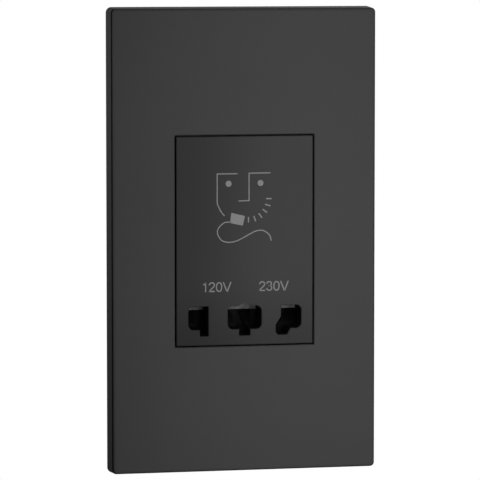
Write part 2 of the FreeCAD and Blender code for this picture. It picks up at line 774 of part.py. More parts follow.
def make_screws():
    shank = "wall_screw_radius"
    wall = turned("wall_screw", [
        ("0", "-frame_plate - wall_screw_head_rise"),
        ("wall_screw_head", "-frame_plate - wall_screw_head_rise"),
        ("wall_screw_head", "-frame_plate"), ("wall_screw_neck", "-frame_plate"),
        ("wall_screw_neck", "0"), (shank, "0"), (shank, "wall_screw_reach - frame_plate"),
        ("0", "wall_screw_reach - frame_plate")], up="wall_screw_spacing / 2")
    other = mirrored("wall_screw_lower", wall, FreeCAD.Vector(0, 0, 1))
    keep(grouped("fixing_screws", [wall, other]), "fixing_screws")

    corner = hex_screw("housing_screw", "tap_radius", "tap_reach", "tap_head", "tap_head_rise",
                       "boss_across / 2", FRAME_FRONT, "boss_spread / 2")
    keep(four("housing_screws", corner), "housing_screws")

    ear = hex_screw("carrier_screw", "tap_radius", "carrier_screw_reach", "tap_head",
                    "tap_head_rise", "ear_across / 2", "carrier_front + ear_depth", "ear_height", -1)
    twin = mirrored("carrier_screw_left", ear, FreeCAD.Vector(1, 0, 0))
    keep(grouped("carrier_screws", [ear, twin]), "carrier_screws")

    reach = "core_stack + core_screw_grip"
    clamp = hex_screw("core_screw_one", "core_screw", reach, "core_screw_head",
                      "core_screw_head_rise", "2.5 * core_leg", CORE_FRONT, "2 * core_leg")
    set_of_four = four("core_screw_set", clamp)
    set_of_four.setExpression("Placement.Base.z", bound("core_z"))
    keep(set_of_four, "core_screws")


# Contact carrier and its shutter

def entries(prefix, front, depth, drop):
    """Tools for the round and blade entries, moved down by drop; a negative drop is up."""
    tools = []
    for name, middle in (("left", "-pin_spacing + pin_offset"), ("centre", "0"),
                         ("right", "pin_spacing - pin_offset")):
        spread = "pin_spread" if name != "centre" else "pin_offset + pin_spread"
        height = "pin_height - (%s)" % drop
        for end in (-1, 1):
            tools.append(rod("%s_pin_%s_%d" % (prefix, name, end + 1), "pin_hole",
                             ("%s + %d * (%s)" % (middle, end, spread), front, height), depth))
        tools.append(box("%s_pins_%s" % (prefix, name),
                         ("%s - (%s)" % (middle, spread), "%s + (%s)" % (middle, spread)),
                         (front, "%s + %s" % (front, depth)),
                         ("%s - pin_hole" % height, "%s + pin_hole" % height)))
    tools += blades(prefix, front, depth, drop)
    return tools


def blades(prefix, front, depth, drop):
    """Slots for flat blades: two upright and two slanted."""
    tools = []
    places = (("left", "blade_middle - blade_spacing", 0), ("middle", "blade_middle", 0),
              ("back", "slant_middle", -1), ("right", "slant_middle + slant_spacing", 1))
    for name, middle, slant in places:
        slot = doc.addObject("Part::Box", "%s_blade_%s" % (prefix, name))
        slot.setExpression("Length", bound("blade_slot"))
        slot.setExpression("Width", bound(depth))
        slot.setExpression("Height", bound("blade_length"))
        turn = value("slant_angle") * slant
        slot.Placement.Rotation = FreeCAD.Rotation(FreeCAD.Vector(0, 1, 0), turn)
        angle = "(%d * slant_angle * 1 deg)" % slant
        slot.setExpression("Placement.Base.x", bound(
            "%s - blade_slot / 2 * cos%s - blade_length / 2 * sin%s" % (middle, angle, angle)))
        slot.setExpression("Placement.Base.y", bound(front))
        slot.setExpression("Placement.Base.z", bound(
            "blade_height - (%s) + blade_slot / 2 * sin%s - blade_length / 2 * cos%s"
            % (drop, angle, angle)))
        tools.append(slot)
    return tools


def make_contact_carrier():
    body = new_body("contact_carrier")
    shell = outline(sketch(body, "shell", "carrier_front"),
                    block_corners("-carrier_half", "carrier_half", "carrier_low", "carrier_top",
                                  "face_corner"))
    pad(body, "shelled", shell, "carrier_back - carrier_front", True)
    hollow = outline(sketch(body, "hollow", "carrier_back"),
                     block_corners("-" + CARRIER_INNER, CARRIER_INNER, CARRIER_FLOOR,
                                   "carrier_top - carrier_wall"))
    pocket(body, "hollowed", hollow, "carrier_back - carrier_front - carrier_skin", True)
    sight = outline(sketch(body, "sight", "carrier_front"),
                    block_corners("-sight_half", "sight_half", "sight_low", "sight_top", "blade_round"))
    pocket(body, "sighted", sight, "carrier_skin")
    for side in (-1, 1):
        tag = "_%d" % (side + 1)
        middle = "%d * ear_across / 2" % side
        ear = outline(sketch(body, "ear" + tag, "carrier_front"),
                      block_corners(middle + " - ear_half", middle + " + ear_half",
                                    "carrier_top - carrier_wall / 2", "ear_height + ear_half"))
        pad(body, "eared" + tag, ear, "ear_depth", True)
        hole = octagon(sketch(body, "ear_hole" + tag, "carrier_front"), middle, "ear_height",
                       "tap_hole")
        pocket(body, "ear_holed" + tag, hole, "ear_depth")


def make_shutter():
    plate = box("shutter_blank", ("-" + SHUTTER_HALF, SHUTTER_HALF), (SHUTTER_FRONT, SHUTTER_BACK),
                ("shutter_low", SHUTTER_TOP))
    foot = box("shutter_foot", ("switch_x - switch_foot / 2", "switch_x + switch_foot / 2"),
               (SHUTTER_FRONT, SHUTTER_BACK), (FOOT_LOW, "shutter_low + shutter_plate"))
    solid = joined("shutter_whole", [plate, foot])
    tools = entries("shutter", SHUTTER_FRONT, "shutter_plate", "-shutter_travel")
    tools += blades("groove", SHUTTER_FRONT, "groove_depth", "0")
    for name, middle in (("left", "-pin_spacing + pin_offset"), ("centre", "0"),
                         ("right", "pin_spacing - pin_offset")):
        spread = "pin_hole + pin_spread" if name != "centre" else "pin_hole + pin_offset"
        ramp = doc.addObject("Part::Wedge", "shutter_ramp_" + name)
        for side, formula in (
                ("Xmin", "%s - (%s)" % (middle, spread)), ("Xmax", "%s + (%s)" % (middle, spread)),
                ("X2min", "%s - (%s)" % (middle, spread)), ("X2max", "%s + (%s)" % (middle, spread)),
                ("Ymin", SHUTTER_FRONT), ("Ymax", SHUTTER_FRONT + " + ramp_depth"),
                ("Zmin", "pin_height - pin_hole"), ("Zmax", "pin_height + pin_hole"),
                ("Z2min", "pin_height + pin_hole * 0.8"), ("Z2max", "pin_height + pin_hole")):
            ramp.setExpression(side, bound(formula))
        tools.append(ramp)
    keep(carved("shutter", solid, tools), "shutter")


def few_sided(middle, along, radius, count):
    """A closed regular outline across a wire, in place of its circle."""
    first = along.cross(FreeCAD.Vector(0.31, 0.17, 0.94)).normalize()
    second = along.cross(first).normalize()
    corners = []
    for step in range(count + 1):
        angle = 2 * math.pi * step / count
        corners.append(middle + (first * math.cos(angle) + second * math.sin(angle)) * radius)
    return Part.makePolygon(corners)


def make_shutter_spring():
    """Open coil under the shutter, on the carrier's floor, with a ground flat at each end."""
    low = value(CARRIER_FLOOR)
    high = value("shutter_low")
    wire = value("spring_wire")
    radius = value("spring_radius")
    turns = value("spring_turns")
    reach = high - low
    helix = Part.makeHelix((reach - 2 * wire) / turns, reach - 2 * wire, radius)
    pitch = math.atan2((reach - 2 * wire) / turns, 2 * math.pi * radius)
    along = FreeCAD.Vector(0, math.cos(pitch), math.sin(pitch))
    section = few_sided(FreeCAD.Vector(radius, 0, 0), along, wire, 4)
    coil = Part.Wire(helix.Edges).makePipeShell([section], True, True)
    spring = doc.addObject("Part::Feature", "shutter_spring")
    spring.Shape = coil
    middle = (value(SHUTTER_FRONT) + value(SHUTTER_BACK)) / 2
    spring.Placement = FreeCAD.Placement(FreeCAD.Vector(0, middle, low + wire), FreeCAD.Rotation())
    keep(spring, "shutter_spring")


# Contact block and contacts

CONTACTS = (
    ("contact_120v", "-pin_spacing + pin_offset", "pin_hole + pin_spread"),
    ("contact_common", "0", "pin_hole + pin_offset + pin_spread"),
    ("contact_230v", "pin_spacing - pin_offset", "pin_hole + pin_spread"),
)


def make_contact_block():
    half = "%s - block_play" % CARRIER_INNER
    blank = box("block_blank", ("-(%s)" % half, half), (BLOCK_FRONT, "carrier_back"),
                ("block_low", "carrier_top - carrier_wall - block_play"))
    tools = entries("block", BLOCK_FRONT, "block_skin", "0")
    for name, middle, reach in CONTACTS:
        wide = "(%s + contact_gap + contact_strip)" % reach
        tools.append(box("cell_" + name, ("%s - %s" % (middle, wide), "%s + %s" % (middle, wide)),
                         (BLOCK_FRONT + " + block_skin", "carrier_back"),
                         ("blade_height - contact_height / 2 - contact_gap",
                          "blade_height + contact_height / 2 + contact_gap")))
    keep(carved("contact_block", blank, tools), "contact_block")


def make_contacts():
    """Brass strip folded to a U, waisted near its mouth, with a soldering tail."""
    for name, middle, reach in CONTACTS:
        body = new_body(name)
        front = "(%s + block_skin + contact_gap)" % BLOCK_FRONT
        web = "(carrier_back - contact_strip - contact_gap)"
        low = "blade_height - contact_height / 2"
        corners = []
        inner = []
        for side in (1, -1):
            outer = "%s + %d * (%s + contact_strip)" % (middle, side, reach)
            waist = "%s + %d * (%s + contact_strip - contact_waist)" % (middle, side, reach)
            run = [(outer, web + " + contact_strip"), (outer, front + " + 4 * contact_waist"),
                   (waist, front + " + 2 * contact_waist"), (outer, front)]
            corners += run if side > 0 else list(reversed(run))
            outer_in = "%s + %d * (%s)" % (middle, side, reach)
            waist_in = "%s + %d * (%s - contact_waist)" % (middle, side, reach)
            inner_run = [(outer_in, front), (waist_in, front + " + 2 * contact_waist"),
                         (outer_in, front + " + 4 * contact_waist"), (outer_in, web)]
            inner.append(inner_run)
        left_leg = list(reversed(corners[4:]))
        path = [(x, y, None) for x, y in reversed(corners[:4])]
        path += [(x, y, None) for x, y in left_leg]
        path += [(x, y, None) for x, y in inner[1]]
        path += [(x, y, None) for x, y in reversed(inner[0])]
        strip = outline(sketch(body, "strip", low, "XY_Plane"), path)
        pad(body, "folded", strip, "contact_height")
        tail = outline(sketch(body, "tail", web),
                       block_corners(middle + " - tail_width / 2", middle + " + tail_width / 2",
                                     "blade_height - contact_height / 4",
                                     "blade_height + contact_height / 4"))
        pad(body, "tailed", tail, "%s - %s" % (TAIL_BACK, web), True)


# Switch that wakes the transformer

def make_switch():
    left = "switch_right - switch_length"
    low = CARRIER_FLOOR
    top = "%s + switch_height" % CARRIER_FLOOR
    front = "carrier_front + carrier_skin + shutter_gap"
    middle = "(%s + shutter_plate / 2)" % front
    back = "%s + switch_depth" % front
    case = box("switch_case", (left, "switch_right"), (front, back), (low, top))
    well = box("switch_well",
               ("switch_x - plunger_width / 2 - plunger_play", "switch_x + plunger_width / 2 + plunger_play"),
               ("%s - plunger_depth / 2 - plunger_play" % middle,
                "%s + plunger_depth / 2 + plunger_play" % middle),
               ("%s - plunger_root - plunger_travel - 2 * plunger_play" % top, top))
    keep(carved("switch_body", case, [well]), "switch_body")
    keep(box("switch_plunger", ("switch_x - plunger_width / 2", "switch_x + plunger_width / 2"),
             ("%s - plunger_depth / 2" % middle, "%s + plunger_depth / 2" % middle),
             ("%s - plunger_root" % top, PLUNGER_TOP)), "switch_plunger")
    tags = []
    for name, across in (("live", "terminal_pitch"), ("load", "switch_right - tag_width")):
        tags.append(box("switch_tag_" + name, ("%s - tag_width / 2" % across, "%s + tag_width / 2" % across),
                        (back, "%s + tag_reach" % back),
                        ("clamp_z - tag_thick / 2", "clamp_z + tag_thick / 2")))
    keep(grouped("switch_tags", tags), "switch_tags")


# Transformer

def make_core():
    body = new_body("core_laminations")
    stack = sketch(body, "stack", CORE_FRONT)
    outline(stack, centred("6 * core_leg", "5 * core_leg", None, "core_z"))
    for side in (-1, 1):
        inner = "%d * core_leg" % side
        outer = "%d * 2 * core_leg" % side
        across = (inner, outer) if side > 0 else (outer, inner)
        outline(stack, block_corners(across[0], across[1], "core_z - 1.5 * core_leg",
                                     "core_z + 1.5 * core_leg"))
        for end in (-1, 1):
            octagon(stack, "%d * 2.5 * core_leg" % side, "core_z + %d * 2 * core_leg" % end,
                    "core_hole")
    pad(body, "stacked", stack, "core_stack", True)


def ring(body, name, low, height, inner_x, inner_y, outer_x, outer_y, corner=None):
    """A rectangular ring about the centre leg, given by half widths."""
    drawn = sketch(body, name, low, "XY_Plane")
    outline(drawn, block_corners("-(%s)" % outer_x, outer_x, "core_y - (%s)" % outer_y,
                                 "core_y + (%s)" % outer_y, corner))
    outline(drawn, block_corners("-(%s)" % inner_x, inner_x, "core_y - (%s)" % inner_y,
                                 "core_y + (%s)" % inner_y))
    return pad(body, name + "_grown", drawn, height)


def square_pin(name, across, deep):
    """A soldering pin that hangs from the bobbin's lowest flange."""
    return box(name, (across + " - coil_pin", across + " + coil_pin"),
               (deep + " - coil_pin", deep + " + coil_pin"), (PIN_LOW, FLANGE_LOW))


def make_coil():
    window = "(3 * core_leg - 2 * bobbin_play)"
    leg_x = "core_leg + bobbin_play"
    leg_y = "core_stack / 2 + bobbin_play"
    tube_x = "core_leg + bobbin_play + bobbin_wall"
    tube_y = "core_stack / 2 + bobbin_play + bobbin_wall"
    edge_x = "2 * core_leg - bobbin_play"
    edge_y = COIL_HALF + " + flange_over"
    body = new_body("bobbin")
    ring(body, "tube", FLANGE_LOW, window, leg_x, leg_y, tube_x, tube_y)
    for step in range(3):
        level = "%s + %d * (%s - bobbin_flange) / 2" % (FLANGE_LOW, step, window)
        ring(body, "flange_%d" % step, level, "bobbin_flange", leg_x, leg_y, edge_x, edge_y)
    chamber = "((%s - 3 * bobbin_flange) / 2)" % window
    coil_x = "core_leg + bobbin_play + bobbin_wall + coil_side"
    bands = new_body_group("winding_tape")
    for step, label in enumerate(("primary_winding", "secondary_winding")):
        low = "%s + bobbin_flange + %d * (%s + bobbin_flange)" % (FLANGE_LOW, step, chamber)
        coil = new_body(label)
        ring(coil, "turns", low, chamber, tube_x, tube_y, coil_x, COIL_HALF, "coil_corner")
        band = doc.addObject("PartDesign::Body", "tape_band_%d" % step)
        drawn = sketch(band, "band_%d" % step, "%s + tape_margin" % low, "XY_Plane")
        outline(drawn, block_corners(
            "-(%s + tape_wall)" % coil_x, "%s + tape_wall" % coil_x,
            "core_y - (%s + tape_wall)" % COIL_HALF, "core_y + (%s + tape_wall)" % COIL_HALF,
            "coil_corner + tape_wall"))
        outline(drawn, block_corners("-(%s)" % coil_x, coil_x, "core_y - (%s)" % COIL_HALF,
                                     "core_y + (%s)" % COIL_HALF, "coil_corner"))
        pad(band, "wrapped_%d" % step, drawn, "%s - 2 * tape_margin" % chamber)
        bands.Links = bands.Links + [band]
    middle = "(%s + bobbin_flange + %s / 2)" % (FLANGE_LOW, chamber)
    front = "(core_y - %s - tape_wall)" % COIL_HALF
    keep(box("thermal_cutout", ("-cutout_length / 2", "cutout_length / 2"),
             (front + " - cutout_thick", front),
             (middle + " - cutout_height / 2", middle + " + cutout_height / 2")), "thermal_cutout")
    pins = []
    for step in (-1, 0, 1):
        pins.append(square_pin("outlet_pin_%d" % (step + 1), "%d * outlet_pin_pitch" % step,
                               "core_y - (%s) + coil_pin_inset" % edge_y))
    for side in (-1, 1):
        pins.append(square_pin("mains_pin_%d" % (side + 1), "%d * mains_pin_half" % side,
                               "core_y + (%s) - coil_pin_inset" % edge_y))
    keep(grouped("bobbin_pins", pins), "bobbin_pins")


def new_body_group(label):
    return keep(doc.addObject("Part::Compound", label), label)


# Mains terminals

def make_terminals():
    low = "-(housing_height / 2 - housing_wall)"
    blank = box("terminal_blank", ("-terminal_half", "terminal_half"), ("terminal_front", HOUSING_BACK),
                (low, "terminal_top"))
    tools = []
    clamps = []
    screws = []
    back = "(clamp_y + clamp_depth / 2)"
    for step in (-1, 0, 1):
        tag = "_%d" % (step + 1)
        middle = "%d * terminal_pitch" % step
        left = middle + " - clamp_width / 2"
        right = middle + " + clamp_width / 2"
        foot = "clamp_z - clamp_height / 2"
        head = "clamp_z + clamp_height / 2"
        tools.append(box("terminal_cell" + tag, (left, right), ("terminal_front", back), (foot, head)))
        tools.append(rod("terminal_entry" + tag, "wire_hole", (middle, "clamp_y", low),
                         "%s - (%s)" % (foot, low), "z"))
        tools.append(rod("terminal_bore" + tag, "access_hole", (middle, back, "clamp_z"),
                         "%s - %s" % (HOUSING_BACK, back)))
        lump = box("clamp_lump" + tag, (left, right), ("clamp_y - clamp_depth / 2", back), (foot, head))
        holes = [box("clamp_wire" + tag, (middle + " - wire_hole", middle + " + wire_hole"),
                     ("clamp_y - wire_hole", "clamp_y + wire_hole"),
                     (foot, foot + " + clamp_height * 0.8")),
                 prism("clamp_thread" + tag, 8, "terminal_screw", (middle, "clamp_y", "clamp_z"),
                       "clamp_depth / 2")]
        clamps.append(carved("clamp" + tag, lump, holes))
        screws.append(hex_screw("terminal_screw" + tag, "terminal_screw", "terminal_screw_reach",
                                "terminal_screw_head", "terminal_screw_rise", middle, back,
                                "clamp_z", -1))
    tools.append(rod("neutral_way", "wire_radius + plunger_play", ("0", "clamp_y", "clamp_z"),
                     "terminal_top - (clamp_z)", "z"))
    keep(carved("terminal_block", blank, tools), "terminal_block")
    keep(grouped("terminal_clamps", clamps), "terminal_clamps")
    keep(grouped("terminal_screws", screws), "terminal_screws")


# Wires, as straight runs joined by tangent arcs

def wire_tube(name, route):
    """A six-sided wire along a route of points, each corner turned by the largest fair arc."""
    points = [FreeCAD.Vector(*[value(part) for part in point]) for point in route]
    radius = value("wire_radius")
    edges = []
    start = points[0]
    for before, corner, after in zip(points, points[1:], points[2:]):
        back = before - corner
        ahead = after - corner
        half = (math.pi - back.getAngle(ahead)) / 2
        setback = 0.45 * min(back.Length, ahead.Length)
        bend = setback / math.tan(half)
        print("bend radius of %s: %.1f" % (name, bend))
        back.normalize()
        ahead.normalize()
        enter = corner + back * setback
        leave = corner + ahead * setback
        inward = (back + ahead).normalize()
        middle = corner + inward * (math.hypot(setback, bend) - bend)
        edges.append(Part.LineSegment(start, enter).toShape())
        edges.append(Part.Arc(enter, middle, leave).toShape())
        start = leave
    edges.append(Part.LineSegment(start, points[-1]).toShape())
    path = Part.Wire(edges)
    section = few_sided(points[0], (points[1] - points[0]).normalize(), radius, 6)
    tube = path.makePipeShell([section], True, False)
    expected = Part.Face(section).Area * path.Length
    if abs(tube.Volume / expected - 1) > 0.01:
        raise RuntimeError("the wire %s has the wrong volume" % name)
    solid = doc.addObject("Part::Feature", name)
    solid.Shape = tube
    return solid


def make_wires():
    edge_y = COIL_HALF + " + flange_over"
    front_row = "core_y - (%s) + coil_pin_inset" % edge_y
    rear_row = "core_y + (%s) - coil_pin_inset" % edge_y
    tail_y = "(carrier_back + contact_tail / 2)"
    tail_z = "blade_height + contact_height / 4"
    outlets = []
    for step, (name, middle, reach) in zip((-1, 0, 1), CONTACTS):
        pin = "%d * outlet_pin_pitch" % step
        outlets.append(wire_tube("outlet_wire_%d" % (step + 1), [
            (pin, front_row, PIN_LOW), (pin, front_row, "outlet_level"),
            (middle, tail_y, "outlet_level"), (middle, tail_y, tail_z)]))
    keep(grouped("outlet_leads", outlets), "outlet_leads")

    clamp_front = "clamp_y - clamp_depth / 2"
    clamp_top = "clamp_z + clamp_height / 2"
    tag_end = "carrier_front + carrier_skin + shutter_gap + switch_depth + tag_reach"
    load = "switch_right - tag_width"
    turn = "terminal_front - 3.5"
    live = wire_tube("live_wire", [("terminal_pitch", clamp_front, "clamp_z"),
                                   ("terminal_pitch", tag_end, "clamp_z")])
    switched = wire_tube("switched_wire", [
        (load, tag_end, "clamp_z"), (load, turn, "clamp_z"), (load, turn, "clamp_z + 14"),
        ("mains_pin_half", rear_row, "clamp_z + 26"), ("mains_pin_half", rear_row, PIN_LOW)])
    neutral = wire_tube("neutral_wire", [
        ("0", "clamp_y", clamp_top), ("0", "clamp_y", "clamp_z + 14"),
        ("-mains_pin_half", rear_row, "clamp_z + 30"), ("-mains_pin_half", rear_row, PIN_LOW)])
    keep(grouped("mains_leads", [live, switched, neutral]), "mains_leads")


make_cover_plate()
make_socket_face()
make_support_frame()
make_rear_housing()
make_screws()
make_contact_carrier()
make_shutter()
make_shutter_spring()
make_contact_block()
make_contacts()
make_switch()
make_core()
make_coil()
make_terminals()
make_wires()
doc.recompute()

for thing in doc.Objects:
    if "Invalid" in thing.State or "Error" in thing.State:
        raise RuntimeError("%s is %s" % (thing.Name, thing.State))
for node in nodes:
    if node.Shape.isNull() or not node.Shape.isValid():
        raise RuntimeError("%s has no valid shape" % node.Label)
for node in nodes:
    node.Shape.exportStep("parts/%s.step" % node.Label)
    print("%-20s %2d solids %10.1f mm3" % (node.Label, len(node.Shape.Solids), node.Shape.Volume))
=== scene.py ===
import math

import bmesh
import bpy
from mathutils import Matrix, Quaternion, Vector


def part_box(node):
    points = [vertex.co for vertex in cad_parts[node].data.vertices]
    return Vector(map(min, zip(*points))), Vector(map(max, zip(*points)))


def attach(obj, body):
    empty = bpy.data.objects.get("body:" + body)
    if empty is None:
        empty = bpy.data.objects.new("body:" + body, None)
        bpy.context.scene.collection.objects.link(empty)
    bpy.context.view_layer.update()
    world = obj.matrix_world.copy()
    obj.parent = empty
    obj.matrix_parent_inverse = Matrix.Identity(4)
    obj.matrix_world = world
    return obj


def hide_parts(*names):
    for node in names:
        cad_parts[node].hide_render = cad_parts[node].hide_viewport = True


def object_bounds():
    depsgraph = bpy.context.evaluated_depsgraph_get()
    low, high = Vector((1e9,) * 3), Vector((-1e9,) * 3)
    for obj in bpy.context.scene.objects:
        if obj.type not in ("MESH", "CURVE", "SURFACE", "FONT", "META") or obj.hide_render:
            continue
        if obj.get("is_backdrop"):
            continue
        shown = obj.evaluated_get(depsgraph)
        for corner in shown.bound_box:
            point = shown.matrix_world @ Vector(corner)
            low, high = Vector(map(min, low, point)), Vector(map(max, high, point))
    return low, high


bl_info = {
    "name": "Wall shaver socket",
    "version": (1, 0, 0),
    "blender": (4, 5, 0),
    "location": "3D Viewport > Sidebar > Shaver Socket",
    "description": "Finishes, printing, screws and studio for an upright wall shaver socket",
    "category": "Object",
}

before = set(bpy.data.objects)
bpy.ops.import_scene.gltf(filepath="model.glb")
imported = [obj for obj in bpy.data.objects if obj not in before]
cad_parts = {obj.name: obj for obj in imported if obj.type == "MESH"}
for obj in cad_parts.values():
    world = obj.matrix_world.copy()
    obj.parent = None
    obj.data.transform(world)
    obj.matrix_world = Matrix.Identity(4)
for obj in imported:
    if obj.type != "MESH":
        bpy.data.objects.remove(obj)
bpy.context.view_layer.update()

MM = 0.001
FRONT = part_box("socket_face")[0].y
BASE = "base"


# Sizes and colours that a user would change

def colour_setting(name, description, level):
    return bpy.props.FloatVectorProperty(
        name=name, description=description, subtype="COLOR", size=3, min=0.0, max=1.0,
        default=(level, level, level))


def length_setting(name, description, default, **limits):
    return bpy.props.FloatProperty(
        name=name, description=description, unit="LENGTH", subtype="DISTANCE", default=default,
        **limits)


def angle_setting(name, description, degrees):
    return bpy.props.FloatProperty(
        name=name, description=description, subtype="ANGLE", default=math.radians(degrees))


def power_setting(name, description, watts):
    return bpy.props.FloatProperty(
        name=name, description=description, subtype="POWER", min=0.0, default=watts)


class FinishSettings(bpy.types.PropertyGroup):
    plate_colour: colour_setting("Plate colour", "Matt anthracite of the cover plate", 0.046)
    insert_colour: colour_setting("Insert colour", "Darker anthracite of the insert", 0.041)
    # Painted shade: the near-black laid on edges and walls that turn away from the front, in place
    # of their shade and dark reflections
    edge_colour: colour_setting(
        "Edge colour", "Edges and walls that turn away from the front", 0.004)
    carrier_colour: colour_setting("Carrier colour", "Grey wall seen inside the apertures", 0.105)
    grain: length_setting(
        "Grain", "Size of the grain moulded into the matt faces", 0.00028, min=0.00005, max=0.002)
    plastic_roughness: bpy.props.FloatProperty(
        name="Plastic roughness", description="Roughness of the plate and the insert",
        subtype="FACTOR", min=0.0, max=1.0, default=0.8)


class PrintSettings(bpy.types.PropertyGroup):
    colour: colour_setting("Print colour", "Grey ink of the symbol and the voltages", 0.148)
    film: length_setting(
        "Film", "How far the ink stands on the insert", 0.00003, min=0.00001, max=0.0002)
    line_width: length_setting(
        "Line width", "Width of the symbol's lines", 0.00036, min=0.0001, max=0.002)
    letter_width: length_setting(
        "Letter line width", "Width of the lettering's lines", 0.0004, min=0.0001, max=0.002)
    dash_count: bpy.props.IntProperty(
        name="Dashes", description="Stubble dashes round the chin", min=2, max=20, default=6)
    cap_height: length_setting(
        "Cap height", "Height of the voltage lettering", 0.00315, min=0.001, max=0.01)
    baseline: length_setting(
        "Baseline", "Height of the lettering's foot over the insert's middle", -0.01642,
        min=-0.03, max=0.03)


class ScrewSettings(bpy.types.PropertyGroup):
    wall_pitch: length_setting(
        "Wall screw pitch", "Thread pitch of the two wall screws", 0.0006, min=0.0003, max=0.002)
    terminal_pitch: length_setting(
        "Terminal screw pitch", "Thread pitch of the terminal screws", 0.0005,
        min=0.0003, max=0.002)
    slot_width: length_setting(
        "Slot width", "Width of the driver slot in each head", 0.0008, min=0.0002, max=0.002)


class StageSettings(bpy.types.PropertyGroup):
    azimuth: angle_setting("Azimuth", "Camera's turn round the socket, from its front", -12.288)
    elevation: angle_setting("Elevation", "Camera's height angle over the socket's middle", 4.9245)
    roll: angle_setting("Roll", "Camera's turn about its own line of sight", -0.0125)
    distance: length_setting("Distance", "From the camera to the point that it looks at", 1.16115)
    aim_across: length_setting(
        "Aim across", "Where the camera looks, right of the socket's middle", 0.000157)
    aim_up: length_setting(
        "Aim up", "Where the camera looks, above the socket's middle", -0.000448)
    focal_pixels: bpy.props.FloatProperty(
        name="Focal length", description="Focal length in pixels of a 480 pixel wide picture",
        subtype="PIXEL", default=3574.0)
    ambient: bpy.props.FloatProperty(
        name="Ambient", description="Strength of the even light from all round",
        min=0.0, max=3.0, default=0.1)
    key: power_setting("Key light", "Power of the lamp in front, right of the middle", 0.282)
    side: power_setting("Side light", "Power of the lamp at the upper left", 0.097)
    back: power_setting("Back light", "Power of the lamp behind, for the other views", 6.0)


# Node trees

def wire(tree, start, end):
    tree.links.new(start, end)


def put(tree, kind, **values):
    """Add a node and set its properties."""
    node = tree.nodes.new(kind)
    for name, value in values.items():
        setattr(node, name, value)
    return node


def give(tree, given, socket):
    """Feed a socket from another socket, or set it to a value."""
    if isinstance(given, bpy.types.NodeSocket):
        wire(tree, given, socket)
    else:
        socket.default_value = given


def feed(tree, node, **links):
    """Give a node's inputs sockets or values; an underscore in a name stands for a space."""
    for name, given in links.items():
        give(tree, given, node.inputs[name.replace("_", " ")])
    return node


def calc(tree, operation, first, second=None, clamp=False):
    """A Math node on sockets or numbers, as its output."""
    node = put(tree, "ShaderNodeMath", operation=operation, use_clamp=clamp)
    for socket, given in zip(node.inputs, (first, second)):
        if given is not None:
            give(tree, given, socket)
    return node.outputs[0]


def ramp(tree, given, low, high, out_low=0.0, out_high=1.0, smooth=True):
    """A Map Range node, as its output."""
    node = put(tree, "ShaderNodeMapRange", interpolation_type="SMOOTHSTEP" if smooth else "LINEAR")
    return feed(tree, node, Value=given, From_Min=low, From_Max=high, To_Min=out_low,
                To_Max=out_high).outputs["Result"]


def vector(tree, **parts):
    """A Combine XYZ node, as its output."""
    return feed(tree, put(tree, "ShaderNodeCombineXYZ"), **parts).outputs[0]


def parts_of(tree, given):
    """The X, Y and Z outputs of a Separate XYZ node."""
    return feed(tree, put(tree, "ShaderNodeSeparateXYZ"), Vector=given).outputs


def object_place(tree):
    return put(tree, "ShaderNodeTexCoord").outputs["Object"]


def shader_group(name, inputs, outputs):
    """An empty shader group with named sockets."""
    tree = bpy.data.node_groups.new(name, "ShaderNodeTree")
    for label, default in inputs:
        socket = tree.interface.new_socket(name=label, in_out="INPUT",
                                           socket_type="NodeSocketFloat")
        socket.default_value = default
    for label in outputs:
        tree.interface.new_socket(name=label, in_out="OUTPUT", socket_type="NodeSocketFloat")
    return tree, put(tree, "NodeGroupInput"), put(tree, "NodeGroupOutput")


# Most values of a noise lie between these
NOISE_LOW, NOISE_HIGH = 0.3, 0.7
# The same for the layers' waves with noise on top
LAYERS_LOW, LAYERS_HIGH = 0.1, 0.9
# Scale of the noise on drawn metal, whose lines run along Z
ALONG_THE_LINES = (1.0, 1.0, 0.06)
# Shares of its depth over which the mask of painted edge shade runs out
MASK_END = (0.8, 1.1)
# How far a normal points to the side or down, from a weak to a full mask of painted edge shade
ASIDE = (0.15, 0.5)


def noise_at(tree, size, detail=2.0, stretch=None):
    """Noise on Object coordinates, with features of a size given by a socket or a number."""
    where = object_place(tree)
    if stretch:
        where = feed(tree, put(tree, "ShaderNodeMapping"), Scale=stretch,
                     Vector=where).outputs["Vector"]
    return feed(tree, put(tree, "ShaderNodeTexNoise"), Vector=where,
                Scale=calc(tree, "DIVIDE", 1.0, size), Detail=detail).outputs["Fac"]


def blend(tree, first, second, share):
    """Two values added, the second by its share and the first by the rest."""
    return calc(tree, "ADD", calc(tree, "MULTIPLY", second, share),
                calc(tree, "MULTIPLY", first, calc(tree, "SUBTRACT", 1.0, share)))


def make_grain_group():
    """Fine spark grain of a mould, with slow patches of handling on top."""
    tree, given, made = shader_group(
        "moulded_grain", [("Grain Size", 0.0003), ("Patch Size", 0.03), ("Patches", 0.35)],
        ["Tone", "Height"])
    fine = noise_at(tree, given.outputs["Grain Size"], 3.0)
    slow = noise_at(tree, given.outputs["Patch Size"])
    mixed = blend(tree, fine, slow, given.outputs["Patches"])
    feed(tree, made, Tone=ramp(tree, mixed, NOISE_LOW, NOISE_HIGH), Height=fine)
    return tree


def make_drawn_group():
    """Fine lines along one axis, as on drawn, rolled or plated metal."""
    tree, given, made = shader_group(
        "drawn_lines", [("Line Size", 0.0002), ("Patch Size", 0.006), ("Patches", 0.4)],
        ["Tone", "Height"])
    lines = noise_at(tree, given.outputs["Line Size"], stretch=ALONG_THE_LINES)
    slow = noise_at(tree, given.outputs["Patch Size"])
    mixed = blend(tree, lines, slow, given.outputs["Patches"])
    feed(tree, made, Tone=ramp(tree, mixed, NOISE_LOW, NOISE_HIGH), Height=lines)
    return tree


